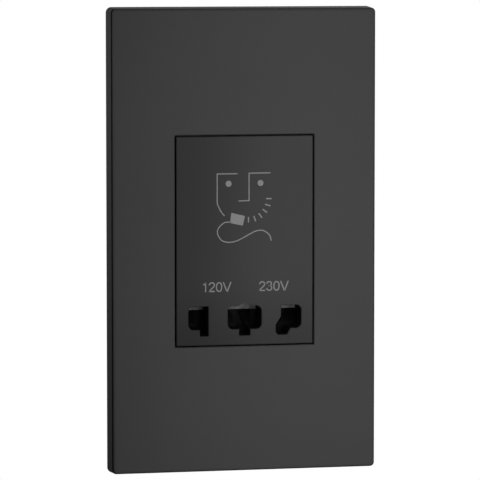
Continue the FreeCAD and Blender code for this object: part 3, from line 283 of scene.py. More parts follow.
def make_layer_group():
    """Even layers along one axis, such as turns of wire or stacked sheets."""
    tree, given, made = shader_group(
        "even_layers", [("Pitch", 0.0005), ("Along Y", 0.0), ("Along Z", 1.0),
                        ("Patch Size", 0.004), ("Depth", 0.25)], ["Tone", "Height"])
    take = given.outputs
    place = parts_of(tree, object_place(tree))
    along = calc(tree, "ADD", calc(tree, "MULTIPLY", place["Y"], take["Along Y"]),
                 calc(tree, "MULTIPLY", place["Z"], take["Along Z"]))
    turns = calc(tree, "DIVIDE", along, take["Pitch"])
    wave = calc(tree, "SINE", calc(tree, "MULTIPLY", turns, math.tau))
    slow = noise_at(tree, take["Patch Size"])
    lift = calc(tree, "ADD", calc(tree, "MULTIPLY", wave, take["Depth"]), slow)
    feed(tree, made, Tone=ramp(tree, lift, LAYERS_LOW, LAYERS_HIGH),
         Height=ramp(tree, wave, -1.0, 1.0, smooth=False))
    return tree


def make_edge_group():
    """Mask of painted shade where the surface turns away from the front, weaker where it faces up.
    """
    tree, given, made = shader_group(
        "turned_away", [("Start", 30.0), ("Full", 50.0), ("Depth", 0.0015), ("Upwards", 0.4)],
        ["Mask"])
    take = given.outputs
    where = put(tree, "ShaderNodeTexCoord")
    facing = parts_of(tree, where.outputs["Normal"])
    place = parts_of(tree, where.outputs["Object"])
    ahead = calc(tree, "MINIMUM", calc(tree, "MULTIPLY", facing["Y"], -1.0), 1.0)
    tilt = calc(tree, "DEGREES", calc(tree, "ARCCOSINE", ahead))
    rise = ramp(tree, tilt, take["Start"], take["Full"])
    behind = calc(tree, "SUBTRACT", place["Y"], FRONT)
    near = ramp(tree, calc(tree, "DIVIDE", behind, take["Depth"]), *MASK_END, 1.0, 0.0)
    down = calc(tree, "MULTIPLY", facing["Z"], -1.0)
    aside = calc(tree, "MAXIMUM", calc(tree, "ABSOLUTE", facing["X"]), down)
    share = ramp(tree, aside, *ASIDE, take["Upwards"], 1.0)
    feed(tree, made, Mask=calc(tree, "MULTIPLY", calc(tree, "MULTIPLY", rise, near), share))
    return tree


def make_fade_group():
    """Two slow ramps, from left to right and from low to high, that lay painted shading on a colour
    in place of the fall of light across a face.
    """
    tree, given, made = shader_group(
        "slow_fade", [("Left", -0.02), ("Right", 0.01), ("Low", -0.036), ("High", -0.01)],
        ["Across", "Up"])
    take = given.outputs
    place = parts_of(tree, object_place(tree))
    feed(tree, made, Across=ramp(tree, place["X"], take["Left"], take["Right"]),
         Up=ramp(tree, place["Z"], take["Low"], take["High"]))
    return tree


GROUPS = {}


def build_groups():
    if not GROUPS:
        GROUPS.update(grain=make_grain_group(), drawn=make_drawn_group(),
                      layers=make_layer_group(), edge=make_edge_group(),
                      fade=make_fade_group())


# Materials

ROUGHNESS_SPREAD = 0.06
RELIEF_STRENGTH = 0.5


def shade(colour, factor):
    return (*[min(1.0, part * factor) for part in colour], 1.0)


def multiply(tree, colour, first, second, factor):
    """A colour made darker or lighter between two strengths."""
    strength = ramp(tree, factor, 0.0, 1.0, first, second, smooth=False)
    scaled = put(tree, "ShaderNodeVectorMath", operation="SCALE")
    wire(tree, colour, scaled.inputs[0])
    wire(tree, strength, scaled.inputs["Scale"])
    return scaled.outputs[0]


def mix_colours(tree, first, second, factor):
    return feed(tree, put(tree, "ShaderNodeMix", data_type="RGBA"), A=first, B=second,
                Factor=factor).outputs["Result"]


def place_group(tree, effect, inputs):
    """A shared effect in a material, with its own values."""
    node = put(tree, "ShaderNodeGroup", node_tree=GROUPS[effect])
    for label, value in inputs.items():
        node.inputs[label].default_value = value
    return node.outputs


def make_material(name, colour, roughness, effect, inputs, spread=0.1, bump=0.02, metallic=0.0,
                  specular=0.5, coat=0.0, edge=None, fade=None):
    """A finish whose colour and roughness follow one of the shared effects.

    The bump is in millimetres. The painted edge shade is a near-black colour with the values of its
    mask, and the painted shading gives the strengths at the left, right, low and high end.
    """
    material = bpy.data.materials.new(name)
    material.use_nodes = True
    tree = material.node_tree
    pattern = place_group(tree, effect, inputs)
    tone = pattern["Tone"]
    result = mix_colours(tree, shade(colour, 1 - spread), shade(colour, 1 + spread), tone)
    # Painted shading: the colour is scaled between given strengths from left to right and from low
    # to high
    if fade:
        slow = place_group(tree, "fade", {})
        left, right, low, high = fade
        result = multiply(tree, result, left, right, slow["Across"])
        result = multiply(tree, result, low, high, slow["Up"])
    # Painted shade: mix towards a near-black colour where the surface turns away from the front, in
    # place of the shade and dark reflections there
    if edge:
        edge_colour, mask_values = edge
        mask = place_group(tree, "edge", mask_values)["Mask"]
        result = mix_colours(tree, result, shade(edge_colour, 1.0), mask)
    relief = feed(tree, put(tree, "ShaderNodeBump"), Strength=RELIEF_STRENGTH, Distance=bump * MM,
                  Height=pattern["Height"])
    rough = ramp(tree, tone, 0.0, 1.0, min(1.0, roughness * (1 + ROUGHNESS_SPREAD)),
                 roughness * (1 - ROUGHNESS_SPREAD))
    feed(tree, tree.nodes["Principled BSDF"], Base_Color=result, Roughness=rough,
         Normal=relief.outputs["Normal"], Metallic=metallic, Specular_IOR_Level=specular,
         Coat_Weight=coat)
    return material


def dress(material, *nodes):
    """Give a material to CAD nodes, in their own material slots."""
    for name in nodes:
        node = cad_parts[name]
        for slot in node.material_slots:
            slot.material = material


# Meshes

def show(name, mesh, material):
    """Put a mesh in the scene as a piece that rides on the base."""
    piece = bpy.data.objects.new(name, mesh)
    bpy.context.scene.collection.objects.link(piece)
    mesh.materials.clear()
    mesh.materials.append(material)
    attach(piece, BASE)
    return piece


def film_mesh(name, ribbons, shapes, film):
    """Flat printed lines and shapes on the insert's front, from points in millimetres."""
    points = []
    faces = []

    def add(shape):
        """The front and the rear copy of some points, as two lists of rows."""
        first = len(points)
        points.extend((x * MM, FRONT - film, z * MM) for x, z in shape)
        points.extend((x * MM, FRONT, z * MM) for x, z in shape)
        return list(range(first, first + len(shape))), list(range(first + len(shape), len(points)))

    for left, right, closed in ribbons:
        count = len(left)
        over_left, under_left = add(left)
        over_right, under_right = add(right)
        for step in range(count if closed else count - 1):
            after = (step + 1) % count
            for row, other in ((over_left, over_right), (under_left, under_right),
                               (over_left, under_left), (over_right, under_right)):
                faces.append([row[step], row[after], other[after], other[step]])
        for end in () if closed else (0, -1):
            faces.append([over_left[end], over_right[end], under_right[end], under_left[end]])
    for shape in shapes:
        over, under = add(shape)
        faces += [over, under]
        for step in range(len(shape)):
            after = (step + 1) % len(shape)
            faces.append([over[step], over[after], under[after], under[step]])
    mesh = bpy.data.meshes.new(name)
    mesh.from_pydata(points, [], faces)
    solid = bmesh.new()
    solid.from_mesh(mesh)
    bmesh.ops.recalc_face_normals(solid, faces=solid.faces)
    solid.to_mesh(mesh)
    solid.free()
    mesh.update()
    return mesh


def disc(across, up, radius, count=40):
    """The points round a disc."""
    return [(across + radius * math.cos(math.tau * step / count),
             up + radius * math.sin(math.tau * step / count)) for step in range(count)]


# Least cosine that a mitre is worked out with, so that a sharp turn doesn't run far out
MITRE_LIMIT = 0.3


def ribbon(path, width, closed=False):
    """The two edges of a line drawn along a path, mitred where it turns."""
    left = []
    right = []
    count = len(path)
    for index, point in enumerate(path):
        here = Vector(point)
        back = here - Vector(path[index - 1]) if index or closed else None
        on = Vector(path[(index + 1) % count]) - here if index + 1 < count or closed else None
        before = (back if back else on).normalized()
        ahead = (on if on else back).normalized()
        side = Vector((-(before + ahead).y, (before + ahead).x)).normalized()
        reach = width / 2 / max(MITRE_LIMIT, side.dot(Vector((-before.y, before.x))))
        left.append(tuple(here + side * reach))
        right.append(tuple(here - side * reach))
    return left, right, closed


def smooth_path(points, count=6, closed=False):
    """A smooth curve through the points."""
    if closed:
        ends = [points[-1]] + points + points[:2]
    else:
        ends = [points[0]] + points + [points[-1]]
    path = []
    for a, b, c, d in zip(ends, ends[1:], ends[2:], ends[3:]):
        for step in range(count):
            t = step / count
            path.append(tuple(
                0.5 * (2 * q + (r - p) * t + (2 * p - 5 * q + 4 * r - s) * t * t
                       + (3 * q - p - 3 * r + s) * t ** 3)
                for p, q, r, s in zip(a, b, c, d)))
    return path if closed else path + [points[-1]]


# Printed symbol and voltages

# Lines and shapes of the symbol, in millimetres from the insert's middle
BROW_LEFT = [(-2.4, 21.7), (-9.1, 21.7), (-9.1, 13.0)]
CHEEK = [(-9.1, 13.0), (-9.0, 12.0), (-8.55, 10.9), (-7.75, 9.4), (-6.7, 8.1)]
NOSE = [(8.5, 21.85), (1.4, 21.8), (1.4, 12.95), (-2.1, 12.9)]
EYES = [(-5.35, 18.5, 0.99), (5.2, 18.6, 0.99)]
SHAVER = [(-4.9, 5.8), (-0.65, 4.9), (0.05, 8.0), (-4.4, 9.1)]
LEAD = [(-4.6, 6.05), (-5.6, 6.12), (-6.8, 5.9), (-8.0, 5.0), (-8.9, 3.8), (-9.0, 2.5),
        (-8.46, 1.2), (-7.5, 0.15), (-5.96, -0.38), (-4.3, -0.38), (-2.6, 0.04), (-0.96, 0.77),
        (0.5, 1.54), (1.96, 2.33), (3.4, 3.0), (5.1, 3.3), (6.3, 3.1), (7.6, 2.3), (8.4, 1.2),
        (8.7, -0.15)]
DASH_MIDDLE = (1.2, 13.5)
DASH_INNER = 5.8
DASH_OUTER = 7.65
DASH_SWEEP = math.radians(90.0)

# Drawn characters in cap heights: the step to the next one, and lines as (smooth, closed, points)
CHARACTERS = {
    "1": (0.712, ((False, False, [(0.41, 0.0), (0.41, 1.0)]),
                  (True, False, [(0.41, 0.96), (0.33, 0.86), (0.24, 0.79), (0.15, 0.745)]))),
    "2": (0.777, ((True, False, [(0.1, 0.69), (0.13, 0.81), (0.22, 0.91), (0.37, 0.945),
                                 (0.53, 0.91), (0.63, 0.81), (0.64, 0.68), (0.57, 0.54),
                                 (0.42, 0.39), (0.26, 0.25), (0.15, 0.14), (0.09, 0.055)]),
                  (False, False, [(0.05, 0.055), (0.69, 0.055)]))),
    "3": (0.777, ((True, False, [(0.11, 0.74), (0.15, 0.85), (0.25, 0.925), (0.36, 0.945),
                                 (0.49, 0.92), (0.58, 0.84), (0.6, 0.74), (0.56, 0.62),
                                 (0.46, 0.56), (0.28, 0.54)]),
                  (True, False, [(0.36, 0.54), (0.5, 0.51), (0.6, 0.43), (0.64, 0.3), (0.61, 0.17),
                                 (0.52, 0.09), (0.38, 0.055), (0.24, 0.08), (0.14, 0.17),
                                 (0.09, 0.28)]))),
    "0": (0.777, ((True, True, [(0.375, 0.945), (0.5, 0.91), (0.6, 0.79), (0.65, 0.6), (0.65, 0.4),
                                (0.6, 0.21), (0.5, 0.09), (0.375, 0.055), (0.25, 0.09),
                                (0.15, 0.21), (0.1, 0.4), (0.1, 0.6), (0.15, 0.79),
                                (0.25, 0.91)]),)),
    "V": (0.93, ((False, False, [(0.05, 1.0), (0.44, 0.055), (0.5, 0.055), (0.88, 1.0)]),)),
}
CHARACTER_WIDTH = 0.97
CHARACTER_CURVE = 4
# Where each voltage starts, in millimetres right of the middle
VOLTAGES = (("120V", -14.2), ("230V", 4.59))
DASH_TO_LINE_WIDTH = 1.15


def ink(prints):
    material = bpy.data.materials.get("grey_ink")
    return material or make_material(
        "grey_ink", prints.colour, 0.6, "grain",
        {"Grain Size": 0.0002, "Patch Size": 0.004, "Patches": 0.3},
        spread=0.06, bump=0.004, specular=0.2)


class PrintSymbol(bpy.types.Operator):
    """Print the shaver symbol: brows, nose, eyes, cheek, shaver head and its lead"""
    bl_idname = "shaver_socket.print_symbol"
    bl_label = "Print symbol"

    def execute(self, context):
        prints = context.scene.print_settings
        width = prints.line_width / MM
        lines = [ribbon(path, width)
                 for path in (BROW_LEFT + smooth_path(CHEEK)[1:], NOSE, smooth_path(LEAD))]
        mesh = film_mesh("printed_symbol", lines, [disc(*eye) for eye in EYES] + [SHAVER],
                         prints.film)
        show("printed_symbol", mesh, ink(prints))
        return {"FINISHED"}


def geometry_tree(name, inputs):
    """An empty Geometry Nodes tree with named inputs and one geometry output."""
    tree = bpy.data.node_groups.new(name, "GeometryNodeTree")
    tree.interface.new_socket(name="Geometry", in_out="INPUT", socket_type="NodeSocketGeometry")
    tree.interface.new_socket(name="Geometry", in_out="OUTPUT", socket_type="NodeSocketGeometry")
    for label, kind, default in inputs:
        socket = tree.interface.new_socket(name=label, in_out="INPUT",
                                           socket_type="NodeSocket" + kind)
        socket.default_value = default
    return tree, put(tree, "NodeGroupInput").outputs, put(tree, "NodeGroupOutput")


def moved(tree, geometry, offset):
    return feed(tree, put(tree, "GeometryNodeTransform"), Geometry=geometry,
                Translation=offset).outputs["Geometry"]


def repeat(tree, made, piece, count, start, step, turn):
    """Put turned copies of a piece on a row of points, as the tree's plain geometry."""
    row = feed(tree, put(tree, "GeometryNodeMeshLine", mode="OFFSET"), Count=count, Offset=step,
               Start_Location=start)
    copies = feed(tree, put(tree, "GeometryNodeInstanceOnPoints"), Points=row.outputs["Mesh"],
                  Instance=piece, Rotation=turn)
    real = feed(tree, put(tree, "GeometryNodeRealizeInstances"), Geometry=copies.outputs[0])
    feed(tree, made, Geometry=real.outputs[0])


def bake(name, tree, values, material):
    """Run a tree on an empty mesh and keep its result as a plain piece."""
    holder = bpy.data.objects.new(name + "_holder", bpy.data.meshes.new(name + "_holder"))
    bpy.context.scene.collection.objects.link(holder)
    modifier = holder.modifiers.new(name, "NODES")
    modifier.node_group = tree
    for item in tree.interface.items_tree:
        if item.in_out == "INPUT" and item.name in values:
            modifier[item.identifier] = values[item.name]
    bpy.context.view_layer.update()
    graph = bpy.context.evaluated_depsgraph_get()
    mesh = bpy.data.meshes.new_from_object(holder.evaluated_get(graph))
    if not len(mesh.polygons):
        raise RuntimeError(name + " came out empty")
    mesh.name = name
    bpy.data.objects.remove(holder)
    return show(name, mesh, material)


def dash_tree():
    """Radial dashes along an arc: a bar repeated on points at its middle, each turned further."""
    tree, take, made = geometry_tree("radial_dashes", [
        ("Count", "Int", 6), ("Sweep", "Float", DASH_SWEEP),
        ("Inner Radius", "Float", DASH_INNER * MM), ("Outer Radius", "Float", DASH_OUTER * MM),
        ("Width", "Float", 0.0004), ("Film", "Float", 0.00003),
        ("Middle", "Vector", (0.0, 0.0, 0.0))])
    inner, outer = take["Inner Radius"], take["Outer Radius"]
    size = vector(tree, X=calc(tree, "SUBTRACT", outer, inner), Y=take["Film"], Z=take["Width"])
    bar = feed(tree, put(tree, "GeometryNodeMeshCube"), Size=size).outputs["Mesh"]
    reach = calc(tree, "DIVIDE", calc(tree, "ADD", outer, inner), 2.0)
    step = calc(tree, "DIVIDE", take["Sweep"], calc(tree, "SUBTRACT", take["Count"], 1.0))
    turn = calc(tree, "MULTIPLY", put(tree, "GeometryNodeInputIndex").outputs[0], step)
    repeat(tree, made, moved(tree, bar, vector(tree, X=reach)), take["Count"], take["Middle"],
           (0.0, 0.0, 0.0), vector(tree, Y=turn))
    return tree


class PrintDashes(bpy.types.Operator):
    """Print the stubble dashes round the symbol's chin"""
    bl_idname = "shaver_socket.print_dashes"
    bl_label = "Print dashes"

    def execute(self, context):
        prints = context.scene.print_settings
        across, up = DASH_MIDDLE
        bake("printed_dashes", dash_tree(), {
            "Count": prints.dash_count, "Inner Radius": DASH_INNER * MM,
            "Outer Radius": DASH_OUTER * MM, "Width": prints.line_width * DASH_TO_LINE_WIDTH,
            "Film": prints.film, "Middle": (across * MM, FRONT - prints.film / 2, up * MM)},
            ink(prints))
        return {"FINISHED"}


class PrintVoltages(bpy.types.Operator):
    """Print the voltage over each pair of apertures"""
    bl_idname = "shaver_socket.print_voltages"
    bl_label = "Print voltages"

    def execute(self, context):
        prints = context.scene.print_settings
        tall = prints.cap_height / MM
        wide = tall * CHARACTER_WIDTH
        for words, start in VOLTAGES:
            lines = []
            for letter in words:
                step, strokes = CHARACTERS[letter]
                for smooth, closed, path in strokes:
                    path = [(start + x * wide, prints.baseline / MM + z * tall) for x, z in path]
                    if smooth:
                        path = smooth_path(path, CHARACTER_CURVE, closed)
                    lines.append(ribbon(path, prints.letter_width / MM, closed))
                start += step * wide
            name = "printed_" + words.lower()
            show(name, film_mesh(name, lines, [], prints.film), ink(prints))
        return {"FINISHED"}


# Screws

# Shares of a head's radius and height: the crown widens from its outer face into the rim below
CROWN_OUTER = 0.72
CROWN_INNER = 0.97
CROWN_HEIGHT = 0.52
RIM_HEIGHT = 0.55
SLOT_SHARE = 0.5
BARREL_SIDES = 32
THREAD_STEPS = 20
# How far the neck reaches into the head and into the core, in metres
NECK_OVERLAP = 0.00005
# Depth of the thread in pitches
THREAD_TO_PITCH = 0.45

# Sizes of the two kinds of screws, in millimetres where they are lengths
WALL_HEAD = 3.4
WALL_HEAD_HEIGHT = 1.2
WALL_NECK = 1.3
WALL_THREAD = 1.75
WALL_COUNT = 2
TERMINAL_HEAD_HEIGHT = 1.8
TERMINAL_NECK_LENGTH = 0.3
TERMINAL_NECK_SHARE = 0.8
TERMINAL_THREAD = 1.38
TERMINAL_COUNT = 3


def screw_tree():
    """A slotted screw with a cut thread, repeated along a row; its head's underside is at zero."""
    lengths = [("Head Radius", 0.0034), ("Head Height", 0.0012), ("Neck Radius", 0.0013),
               ("Neck Length", 0.002), ("Thread Radius", 0.00175), ("Thread Length", 0.023),
               ("Pitch", 0.0006), ("Thread Depth", 0.0003), ("Slot Width", 0.0008),
               ("Slot Depth", 0.0006)]
    tree, take, made = geometry_tree("slotted_screws", [
        (label, "Float", value) for label, value in lengths] + [
        ("Count", "Int", 2), ("Start", "Vector", (0.0, 0.0, 0.0)),
        ("Step", "Vector", (0.0, 0.0, 0.1)), ("Turn", "Float", 0.0)])

    def times(label, factor):
        return calc(tree, "MULTIPLY", take[label], factor)

    def barrel(radius, start, height, top=None):
        """A closed cone or cylinder up from a start."""
        solid = feed(tree, put(tree, "GeometryNodeMeshCone"), Vertices=BARREL_SIDES,
                     Radius_Top=radius if top is None else top, Radius_Bottom=radius, Depth=height)
        return moved(tree, solid.outputs["Mesh"], vector(tree, Z=start))

    head_end = times("Head Height", -1.0)
    crown = barrel(times("Head Radius", CROWN_OUTER), head_end,
                   times("Head Height", CROWN_HEIGHT), times("Head Radius", CROWN_INNER))
    rim = barrel(take["Head Radius"], times("Head Height", -RIM_HEIGHT),
                 times("Head Height", RIM_HEIGHT))
    neck = barrel(take["Neck Radius"], -NECK_OVERLAP,
                  calc(tree, "ADD", take["Neck Length"], 2 * NECK_OVERLAP))
    core_radius = calc(tree, "SUBTRACT", take["Thread Radius"], take["Thread Depth"])
    core = barrel(core_radius, take["Neck Length"], take["Thread Length"])
    blank = put(tree, "GeometryNodeMeshBoolean", operation="UNION", solver="EXACT")
    for part in (crown, rim, neck, core):
        wire(tree, part, blank.inputs["Mesh 2"])

    # The groove is longer than the head is wide, and stands as far out of it as into it
    groove = put(tree, "GeometryNodeMeshCube")
    feed(tree, groove, Size=vector(tree, X=times("Head Radius", 3.0), Y=take["Slot Width"],
                                   Z=times("Slot Depth", 2.0)))
    slotted = put(tree, "GeometryNodeMeshBoolean", operation="DIFFERENCE", solver="EXACT")
    wire(tree, blank.outputs["Mesh"], slotted.inputs["Mesh 1"])
    wire(tree, moved(tree, groove.outputs["Mesh"], vector(tree, Z=head_end)),
         slotted.inputs["Mesh 2"])

    # The thread starts half a pitch past the neck and ends half a pitch before the tip
    rise = calc(tree, "SUBTRACT", take["Thread Length"], take["Pitch"])
    spiral = feed(tree, put(tree, "GeometryNodeCurveSpiral"), Resolution=THREAD_STEPS,
                  Rotations=calc(tree, "DIVIDE", rise, take["Pitch"]), Start_Radius=core_radius,
                  End_Radius=core_radius, Height=rise)
    upright = feed(tree, put(tree, "GeometryNodeSetCurveNormal", mode="Z_UP"),
                   Curve=spiral.outputs["Curve"])
    ridge = feed(tree, put(tree, "GeometryNodeCurvePrimitiveCircle", mode="RADIUS"), Resolution=4,
                 Radius=take["Thread Depth"])
    thread = feed(tree, put(tree, "GeometryNodeCurveToMesh"), Curve=upright.outputs["Curve"],
                  Profile_Curve=ridge.outputs["Curve"], Fill_Caps=True)
    foot = calc(tree, "ADD", take["Neck Length"], times("Pitch", 0.5))
    screw = put(tree, "GeometryNodeJoinGeometry")
    for part in (slotted.outputs["Mesh"],
                 moved(tree, thread.outputs["Mesh"], vector(tree, Z=foot))):
        wire(tree, part, screw.inputs[0])
    repeat(tree, made, screw.outputs[0], take["Count"], take["Start"], take["Step"],
           vector(tree, X=take["Turn"]))
    return tree


def make_screws(name, pitch, values):
    """Bake a row of screws in zinc, from their own sizes and what all of them share."""
    shared = {"Pitch": pitch, "Thread Depth": pitch * THREAD_TO_PITCH,
              "Slot Depth": values["Head Height"] * SLOT_SHARE}
    tree = bpy.data.node_groups.get("slotted_screws") or screw_tree()
    return bake(name, tree, {**shared, **values}, bpy.data.materials["bright_zinc"])


class MakeWallScrews(bpy.types.Operator):
    """Thread and slot the two screws that hold the socket on its wall box"""
    bl_idname = "shaver_socket.make_wall_screws"
    bl_label = "Make wall screws"

    def execute(self, context):
        screws = context.scene.screw_settings
        low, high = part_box("fixing_screws")
        under = low.y + WALL_HEAD_HEIGHT * MM
        spread = high.z - low.z - 2 * WALL_HEAD * MM
        piece = make_screws("threaded_wall_screws", screws.wall_pitch, {
            "Head Radius": WALL_HEAD * MM, "Head Height": WALL_HEAD_HEIGHT * MM,
            "Neck Radius": WALL_NECK * MM, "Neck Length": -under,
            "Thread Radius": WALL_THREAD * MM, "Thread Length": high.y,
            "Slot Width": screws.slot_width, "Count": WALL_COUNT,
            "Start": (0.0, under, -spread / 2), "Step": (0.0, 0.0, spread), "Turn": -math.pi / 2})
        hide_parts("fixing_screws")
        return {"FINISHED"}


class MakeTerminalScrews(bpy.types.Operator):
    """Thread and slot the three terminal screws, which a driver reaches from behind"""
    bl_idname = "shaver_socket.make_terminal_screws"
    bl_label = "Make terminal screws"

    def execute(self, context):
        screws = context.scene.screw_settings
        low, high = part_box("terminal_screws")
        head = (high.z - low.z) / 2
        under = high.y - TERMINAL_HEAD_HEIGHT * MM
        neck = TERMINAL_NECK_LENGTH * MM
        # The CAD heads are hexagons that stand on a flat, so they are wider than they are high
        side = (high.x - low.x) / 2 - head / math.cos(math.pi / 6)
        piece = make_screws("slotted_terminal_screws", screws.terminal_pitch, {
            "Head Radius": head, "Head Height": TERMINAL_HEAD_HEIGHT * MM,
            "Neck Radius": TERMINAL_THREAD * MM * TERMINAL_NECK_SHARE, "Neck Length": neck,
            "Thread Radius": TERMINAL_THREAD * MM, "Thread Length": under - low.y - neck,
            "Slot Width": screws.slot_width, "Count": TERMINAL_COUNT,
            "Start": (-side, under, (low.z + high.z) / 2), "Step": (side, 0.0, 0.0),
            "Turn": math.pi / 2})
        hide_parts("terminal_screws")
        return {"FINISHED"}


# Finishes of the CAD pieces

class FinishCasing(bpy.types.Operator):
    """Give the plate, the insert, the frame and the rear housing their matt finishes"""
    bl_idname = "shaver_socket.finish_casing"
    bl_label = "Finish casing"

    def execute(self, context):
        look = context.scene.finish_settings
        build_groups()
        grain = {"Grain Size": look.grain, "Patch Size": 0.035, "Patches": 0.3}
        rough = look.plastic_roughness
        # Painted shade: a dark line on the plate's rounded front edge, in place of the dark
        # reflection there
        turned = {"Start": 38.0, "Full": 58.0, "Depth": 0.0013, "Upwards": 0.15}
        # Painted shade: near-black walls of the insert's apertures and rim, in place of the shade
        # inside them
        painted_wall_shade = {"Start": 55.0, "Full": 85.0, "Depth": 0.02, "Upwards": 1.0}
        dress(make_material("plate_anthracite", look.plate_colour, rough, "grain", grain,
                            spread=0.04, bump=0.03, specular=0.01, edge=(look.edge_colour, turned)),
              "cover_plate")
        # Painted shading on the insert: darker to the left and the bottom, in place of a light that
        # falls from the right and above
        dress(make_material("insert_anthracite", look.insert_colour, rough, "grain", grain,
                            spread=0.04, bump=0.03, specular=0.01, edge=(look.edge_colour, painted_wall_shade),
                            fade=(0.745, 1.01, 0.76, 1.0)),
              "socket_face")
        dress(make_material("frame_black", (0.03, 0.03, 0.03), 0.6, "grain", grain,
                            spread=0.12, bump=0.02, specular=0.3), "support_frame")
        coarse = {"Grain Size": 0.0007, "Patch Size": 0.02, "Patches": 0.4}
        dress(make_material("housing_black", (0.035, 0.035, 0.037), 0.58, "grain", coarse,
                            spread=0.14, bump=0.05, specular=0.35), "rear_housing")
        dress(make_material("carrier_grey", look.carrier_colour, 0.6, "grain",
                            {"Grain Size": 0.0008, "Patch Size": 0.004, "Patches": 0.2},
                            spread=0.4, bump=0.01, specular=0.1), "contact_carrier")
        # Black plastic set darker than its own colour, as painted shade of the deep apertures it
        # sits behind
        dress(make_material("shutter_black", (0.003, 0.003, 0.003), 0.5, "grain",
                            {"Grain Size": 0.0004, "Patch Size": 0.01, "Patches": 0.4},
                            spread=0.15, bump=0.01, specular=0.03), "shutter")
        return {"FINISHED"}


INNER_FINISHES = (
    # name, colour, roughness, effect, inputs, spread, bump, metallic, specular, coat, nodes
    ("block_black", (0.02, 0.02, 0.02), 0.5, "grain", {"Grain Size": 0.0005, "Patch Size": 0.008},
     0.15, 0.02, 0.0, 0.4, 0.0, ("contact_block", "switch_body")),
    ("plunger_red", (0.55, 0.08, 0.06), 0.3, "grain", {"Grain Size": 0.0004, "Patch Size": 0.002},
     0.08, 0.005, 0.0, 0.5, 0.0, ("switch_plunger",)),
    ("bright_zinc", (0.6, 0.61, 0.62), 0.32, "drawn", {"Line Size": 0.00025, "Patch Size": 0.003},
     0.12, 0.006, 1.0, 0.5, 0.0,
     ("fixing_screws", "housing_screws", "carrier_screws", "core_screws", "terminal_screws")),
    ("spring_wire", (0.5, 0.5, 0.5), 0.28, "drawn", {"Line Size": 0.0001, "Patch Size": 0.002},
     0.1, 0.003, 1.0, 0.5, 0.0, ("shutter_spring",)),
    ("strip_brass", (0.66, 0.5, 0.2), 0.35, "drawn", {"Line Size": 0.0002, "Patch Size": 0.004},
     0.12, 0.004, 1.0, 0.5, 0.0,
     ("contact_120v", "contact_common", "contact_230v", "terminal_clamps")),
    ("tin_plate", (0.62, 0.6, 0.55), 0.38, "drawn", {"Line Size": 0.0002, "Patch Size": 0.003},
     0.1, 0.003, 1.0, 0.5, 0.0, ("switch_tags", "bobbin_pins")),
    ("sheet_steel", (0.08, 0.08, 0.085), 0.42, "layers",
     {"Pitch": 0.0005, "Along Y": 1.0, "Along Z": 0.0},
     0.25, 0.06, 0.6, 0.5, 0.2, ("core_laminations",)),
    ("natural_nylon", (0.6, 0.58, 0.5), 0.45, "grain", {"Grain Size": 0.0006, "Patch Size": 0.012},
     0.06, 0.01, 0.0, 0.4, 0.0, ("bobbin",)),
    ("amber_film", (0.65, 0.5, 0.08), 0.22, "layers",
     {"Pitch": 0.0031, "Along Y": 0.0, "Along Z": 1.0},
     0.08, 0.02, 0.0, 0.5, 0.3, ("winding_tape",)),
    ("copper_turns", (0.45, 0.2, 0.08), 0.3, "layers",
     {"Pitch": 0.00036, "Along Y": 0.0, "Along Z": 1.0},
     0.2, 0.1, 0.85, 0.5, 0.3, ("primary_winding", "secondary_winding")),
    ("cutout_white", (0.7, 0.7, 0.66), 0.3, "grain", {"Grain Size": 0.0005, "Patch Size": 0.004},
     0.04, 0.005, 0.0, 0.5, 0.0, ("thermal_cutout",)),
    ("terminal_grey", (0.25, 0.25, 0.26), 0.5, "grain", {"Grain Size": 0.0005, "Patch Size": 0.01},
     0.08, 0.02, 0.0, 0.4, 0.0, ("terminal_block",)),
    ("lead_brown", (0.3, 0.16, 0.06), 0.42, "grain", {"Grain Size": 0.0008, "Patch Size": 0.008},
     0.1, 0.01, 0.0, 0.5, 0.0, ("outlet_leads", "mains_leads")),
)


class FinishInside(bpy.types.Operator):
    """Give the contacts, switch, transformer, terminals and wires their finishes"""
    bl_idname = "shaver_socket.finish_inside"
    bl_label = "Finish inside"

    def execute(self, context):
        build_groups()
        for row in INNER_FINISHES:
            name, colour, rough, effect, inputs, spread, bump, metallic, specular, coat, nodes = row
            dress(make_material(name, colour, rough, effect, inputs, spread, bump, metallic,
                                specular, coat), *nodes)
        return {"FINISHED"}


# Stage

PICTURE_WIDTH = 480
SENSOR = 36.0
CLIP_START = 0.01
CLIP_END = 20.0
FLOOR_DROP = 0.16
FLOOR_SIZE = 6.0
FLOOR_GREY = (0.4, 0.4, 0.4, 1.0)
FLOOR_ROUGHNESS = 0.9
WHITE = (1.0, 1.0, 1.0, 1.0)

# Each lamp's name, which is also its setting's, then its place, its target, its width and height
LAMPS = (
    ("key", (0.028, -0.12, 0.015), (0.02, 0.0, 0.02), 0.1, 0.285),
    ("side", (-0.17, 0.0, 0.09), (-0.044, 0.0, 0.03), 0.06, 0.06),
    ("back", (0.35, 0.7, 0.45), (0.0, 0.02, 0.0), 0.6, 0.6),
)


def add_lamp(name, place, target, width, height, watts):
    lamp = bpy.data.lights.new(name, "AREA")
    lamp.shape = "RECTANGLE"
    lamp.size = width
    lamp.size_y = height
    lamp.energy = watts
    holder = bpy.data.objects.new(name, lamp)
    holder.location = place
    holder.rotation_mode = "QUATERNION"
    holder.rotation_quaternion = (Vector(target) - Vector(place)).to_track_quat("-Z", "Y")
    holder.visible_camera = False
    bpy.context.scene.collection.objects.link(holder)


def seen_white(tree, plain, target):
    """Show white to camera, glossy and transmission rays, and the plain shader to the rest."""
    path = put(tree, "ShaderNodeLightPath").outputs
    seen = calc(tree, "ADD", calc(tree, "ADD", path["Is Camera Ray"], path["Is Glossy Ray"]),
                path["Is Transmission Ray"], clamp=True)
    kind = "ShaderNodeBackground" if plain.node.type == "BACKGROUND" else "ShaderNodeEmission"
    white = feed(tree, put(tree, kind), Color=WHITE, Strength=1.0)
    mix = put(tree, "ShaderNodeMixShader")
    wire(tree, seen, mix.inputs[0])
    wire(tree, plain, mix.inputs[1])
    wire(tree, white.outputs[0], mix.inputs[2])
    wire(tree, mix.outputs[0], target)


